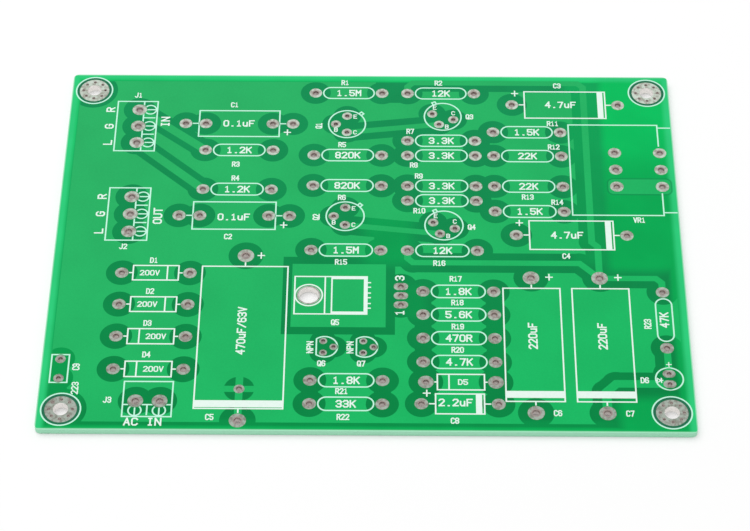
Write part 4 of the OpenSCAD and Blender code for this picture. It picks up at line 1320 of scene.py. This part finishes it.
class BOARD_OT_stage(bpy.types.Operator):
    """Sets the white table, the light and the camera"""

    bl_idname = "board.stage"
    bl_label = "Stage"

    def execute(self, context):
        scene, stage = context.scene, context.scene.board_stage
        scene.view_settings.view_transform = "Standard"
        self.light_world(scene, stage)
        self.lay_table(scene, stage)
        self.hang_lamp(scene, stage)
        self.place_camera(scene, stage)
        return {"FINISHED"}

    @staticmethod
    def seen_directly(tree, openness=1.0):
        """How much a ray sees the surface itself.

        It is 1 in a reflection or through a clear body, and the openness where the camera looks.
        """
        path = put(tree, "ShaderNodeLightPath").outputs
        mirrored = maths(tree, "MAXIMUM", path["Is Glossy Ray"], path["Is Transmission Ray"])
        straight = maths(tree, "MULTIPLY", path["Is Camera Ray"], openness)
        return maths(tree, "MAXIMUM", straight, mirrored)

    def light_world(self, scene, stage):
        """Even light from all round, behind which the camera sees white."""
        world = bpy.data.worlds.new("white_room")
        world.use_nodes = True
        scene.world = world
        tree = world.node_tree
        tree.nodes.clear()
        lit = put(tree, "ShaderNodeBackground", {"Color": rgba((1, 1, 1)), "Strength": stage.fill})
        seen = put(tree, "ShaderNodeBackground", {"Color": rgba((1, 1, 1)), "Strength": 1.0})
        both = put(
            tree,
            "ShaderNodeMixShader",
            {0: self.seen_directly(tree), 1: lit.outputs[0], 2: seen.outputs[0]},
        )
        put(tree, "ShaderNodeOutputWorld", {"Surface": both.outputs[0]})

    def lay_table(self, scene, stage):
        """A wide white sheet just under the board, which keeps the board's shadow.

        The plain white gives way to the lit sheet close to the board and under its holes.
        """
        ends = np.array([(-1, -1), (1, -1), (1, 1), (-1, 1)]) * stage.table_reach
        level = np.full((4, 1), LAND_LOW - stage.table_drop)
        mesh = bpy.data.meshes.new("table")
        mesh.from_pydata(np.hstack([ends, level]).tolist(), [], [(0, 1, 2, 3)])
        material = bpy.data.materials.new("white_table")
        material.use_nodes = True
        tree = material.node_tree
        tree.nodes.clear()
        sheet = put(tree, "ShaderNodeBsdfDiffuse", {"Color": rgba((1, 1, 1), TABLE_TONE)})
        white = put(tree, "ShaderNodeEmission", {"Color": rgba((1, 1, 1)), "Strength": TABLE_WHITE})
        sky = put(tree, "ShaderNodeAmbientOcclusion", {"Distance": stage.shade_reach})
        seen = self.seen_directly(tree, sky.outputs["AO"])
        share = maths(tree, "MULTIPLY", seen, stage.table_glow)
        both = put(
            tree, "ShaderNodeMixShader", {0: share, 1: sheet.outputs[0], 2: white.outputs[0]}
        )
        put(tree, "ShaderNodeOutputMaterial", {"Surface": both.outputs[0]})
        mesh.materials.append(material)
        table = bpy.data.objects.new("table", mesh)
        scene.collection.objects.link(table)

    def hang_lamp(self, scene, stage):
        """One wide soft lamp high over the back left of the board."""
        light = bpy.data.lights.new("soft_lamp", "AREA")
        light.shape = "DISK"
        light.size = stage.lamp_size
        light.energy = stage.lamp_power
        lamp = bpy.data.objects.new("soft_lamp", light)
        lamp.visible_glossy = False
        scene.collection.objects.link(lamp)
        place = np.array(stage.lamp_place)
        back = place / np.linalg.norm(place)
        right = np.cross((0.0, 1.0, 0.0), back)
        right /= np.linalg.norm(right)
        lamp.matrix_world = frame_of(right, np.cross(back, right), back, place)

    def place_camera(self, scene, stage):
        """Looks at the aim from the front, at the given elevation, heading, roll and distance."""
        lens = bpy.data.cameras.new("camera")
        lens.sensor_width = SENSOR_WIDTH
        lens.lens = stage.focal_length
        lens.clip_start = 0.01
        camera = bpy.data.objects.new("camera", lens)
        scene.collection.objects.link(camera)
        lift, heading, roll = stage.elevation, stage.heading, stage.roll
        level = math.cos(lift)
        back = np.array(
            [math.sin(heading) * level, -math.cos(heading) * level, math.sin(lift)]
        )
        right = np.array([math.cos(heading), math.sin(heading), 0.0])
        up = np.cross(back, right)
        tilted = right * math.cos(roll) + up * math.sin(roll)
        upright = up * math.cos(roll) - right * math.sin(roll)
        place = np.array(stage.aim) + back * stage.distance
        camera.matrix_world = frame_of(tilted, upright, back, place)
        scene.camera = camera


class BOARD_PT_panel(bpy.types.Panel):
    """Lists the board's operators and sizes"""

    bl_idname = "BOARD_PT_panel"
    bl_label = "Circuit board"
    bl_space_type = "VIEW_3D"
    bl_region_type = "UI"
    bl_category = "Board"

    def draw(self, context):
        for operator in OPERATORS:
            self.layout.operator(operator.bl_idname)
        for group in GROUPS:
            box = self.layout.box()
            for name in getattr(context.scene, group).bl_rna.properties.keys():
                if name not in ("rna_type", "name"):
                    box.prop(getattr(context.scene, group), name)


OPERATORS = (
    BOARD_OT_laminate,
    BOARD_OT_copper,
    BOARD_OT_fixing_lands,
    BOARD_OT_component_lands,
    BOARD_OT_outlines,
    BOARD_OT_designators,
    BOARD_OT_values,
    BOARD_OT_connections,
    BOARD_OT_stage,
)
CLASSES = (*GROUPS.values(), *OPERATORS, BOARD_PT_panel)


def register():
    """Registers the classes and hangs the groups of sizes on the scene."""
    for made in CLASSES:
        bpy.utils.register_class(made)
    for name, group in GROUPS.items():
        setattr(bpy.types.Scene, name, bpy.props.PointerProperty(type=group))


def unregister():
    """Takes the groups and the classes away again."""
    for name in GROUPS:
        delattr(bpy.types.Scene, name)
    for made in reversed(CLASSES):
        bpy.utils.unregister_class(made)


def main():
    """Makes the board's pieces in order."""
    register()
    bpy.ops.board.laminate()
    bpy.ops.board.copper()
    bpy.ops.board.fixing_lands()
    bpy.ops.board.component_lands()
    bpy.ops.board.outlines()
    bpy.ops.board.designators()
    bpy.ops.board.values()
    bpy.ops.board.connections()
    bpy.ops.board.stage()


if __name__ == "__main__":
    main()
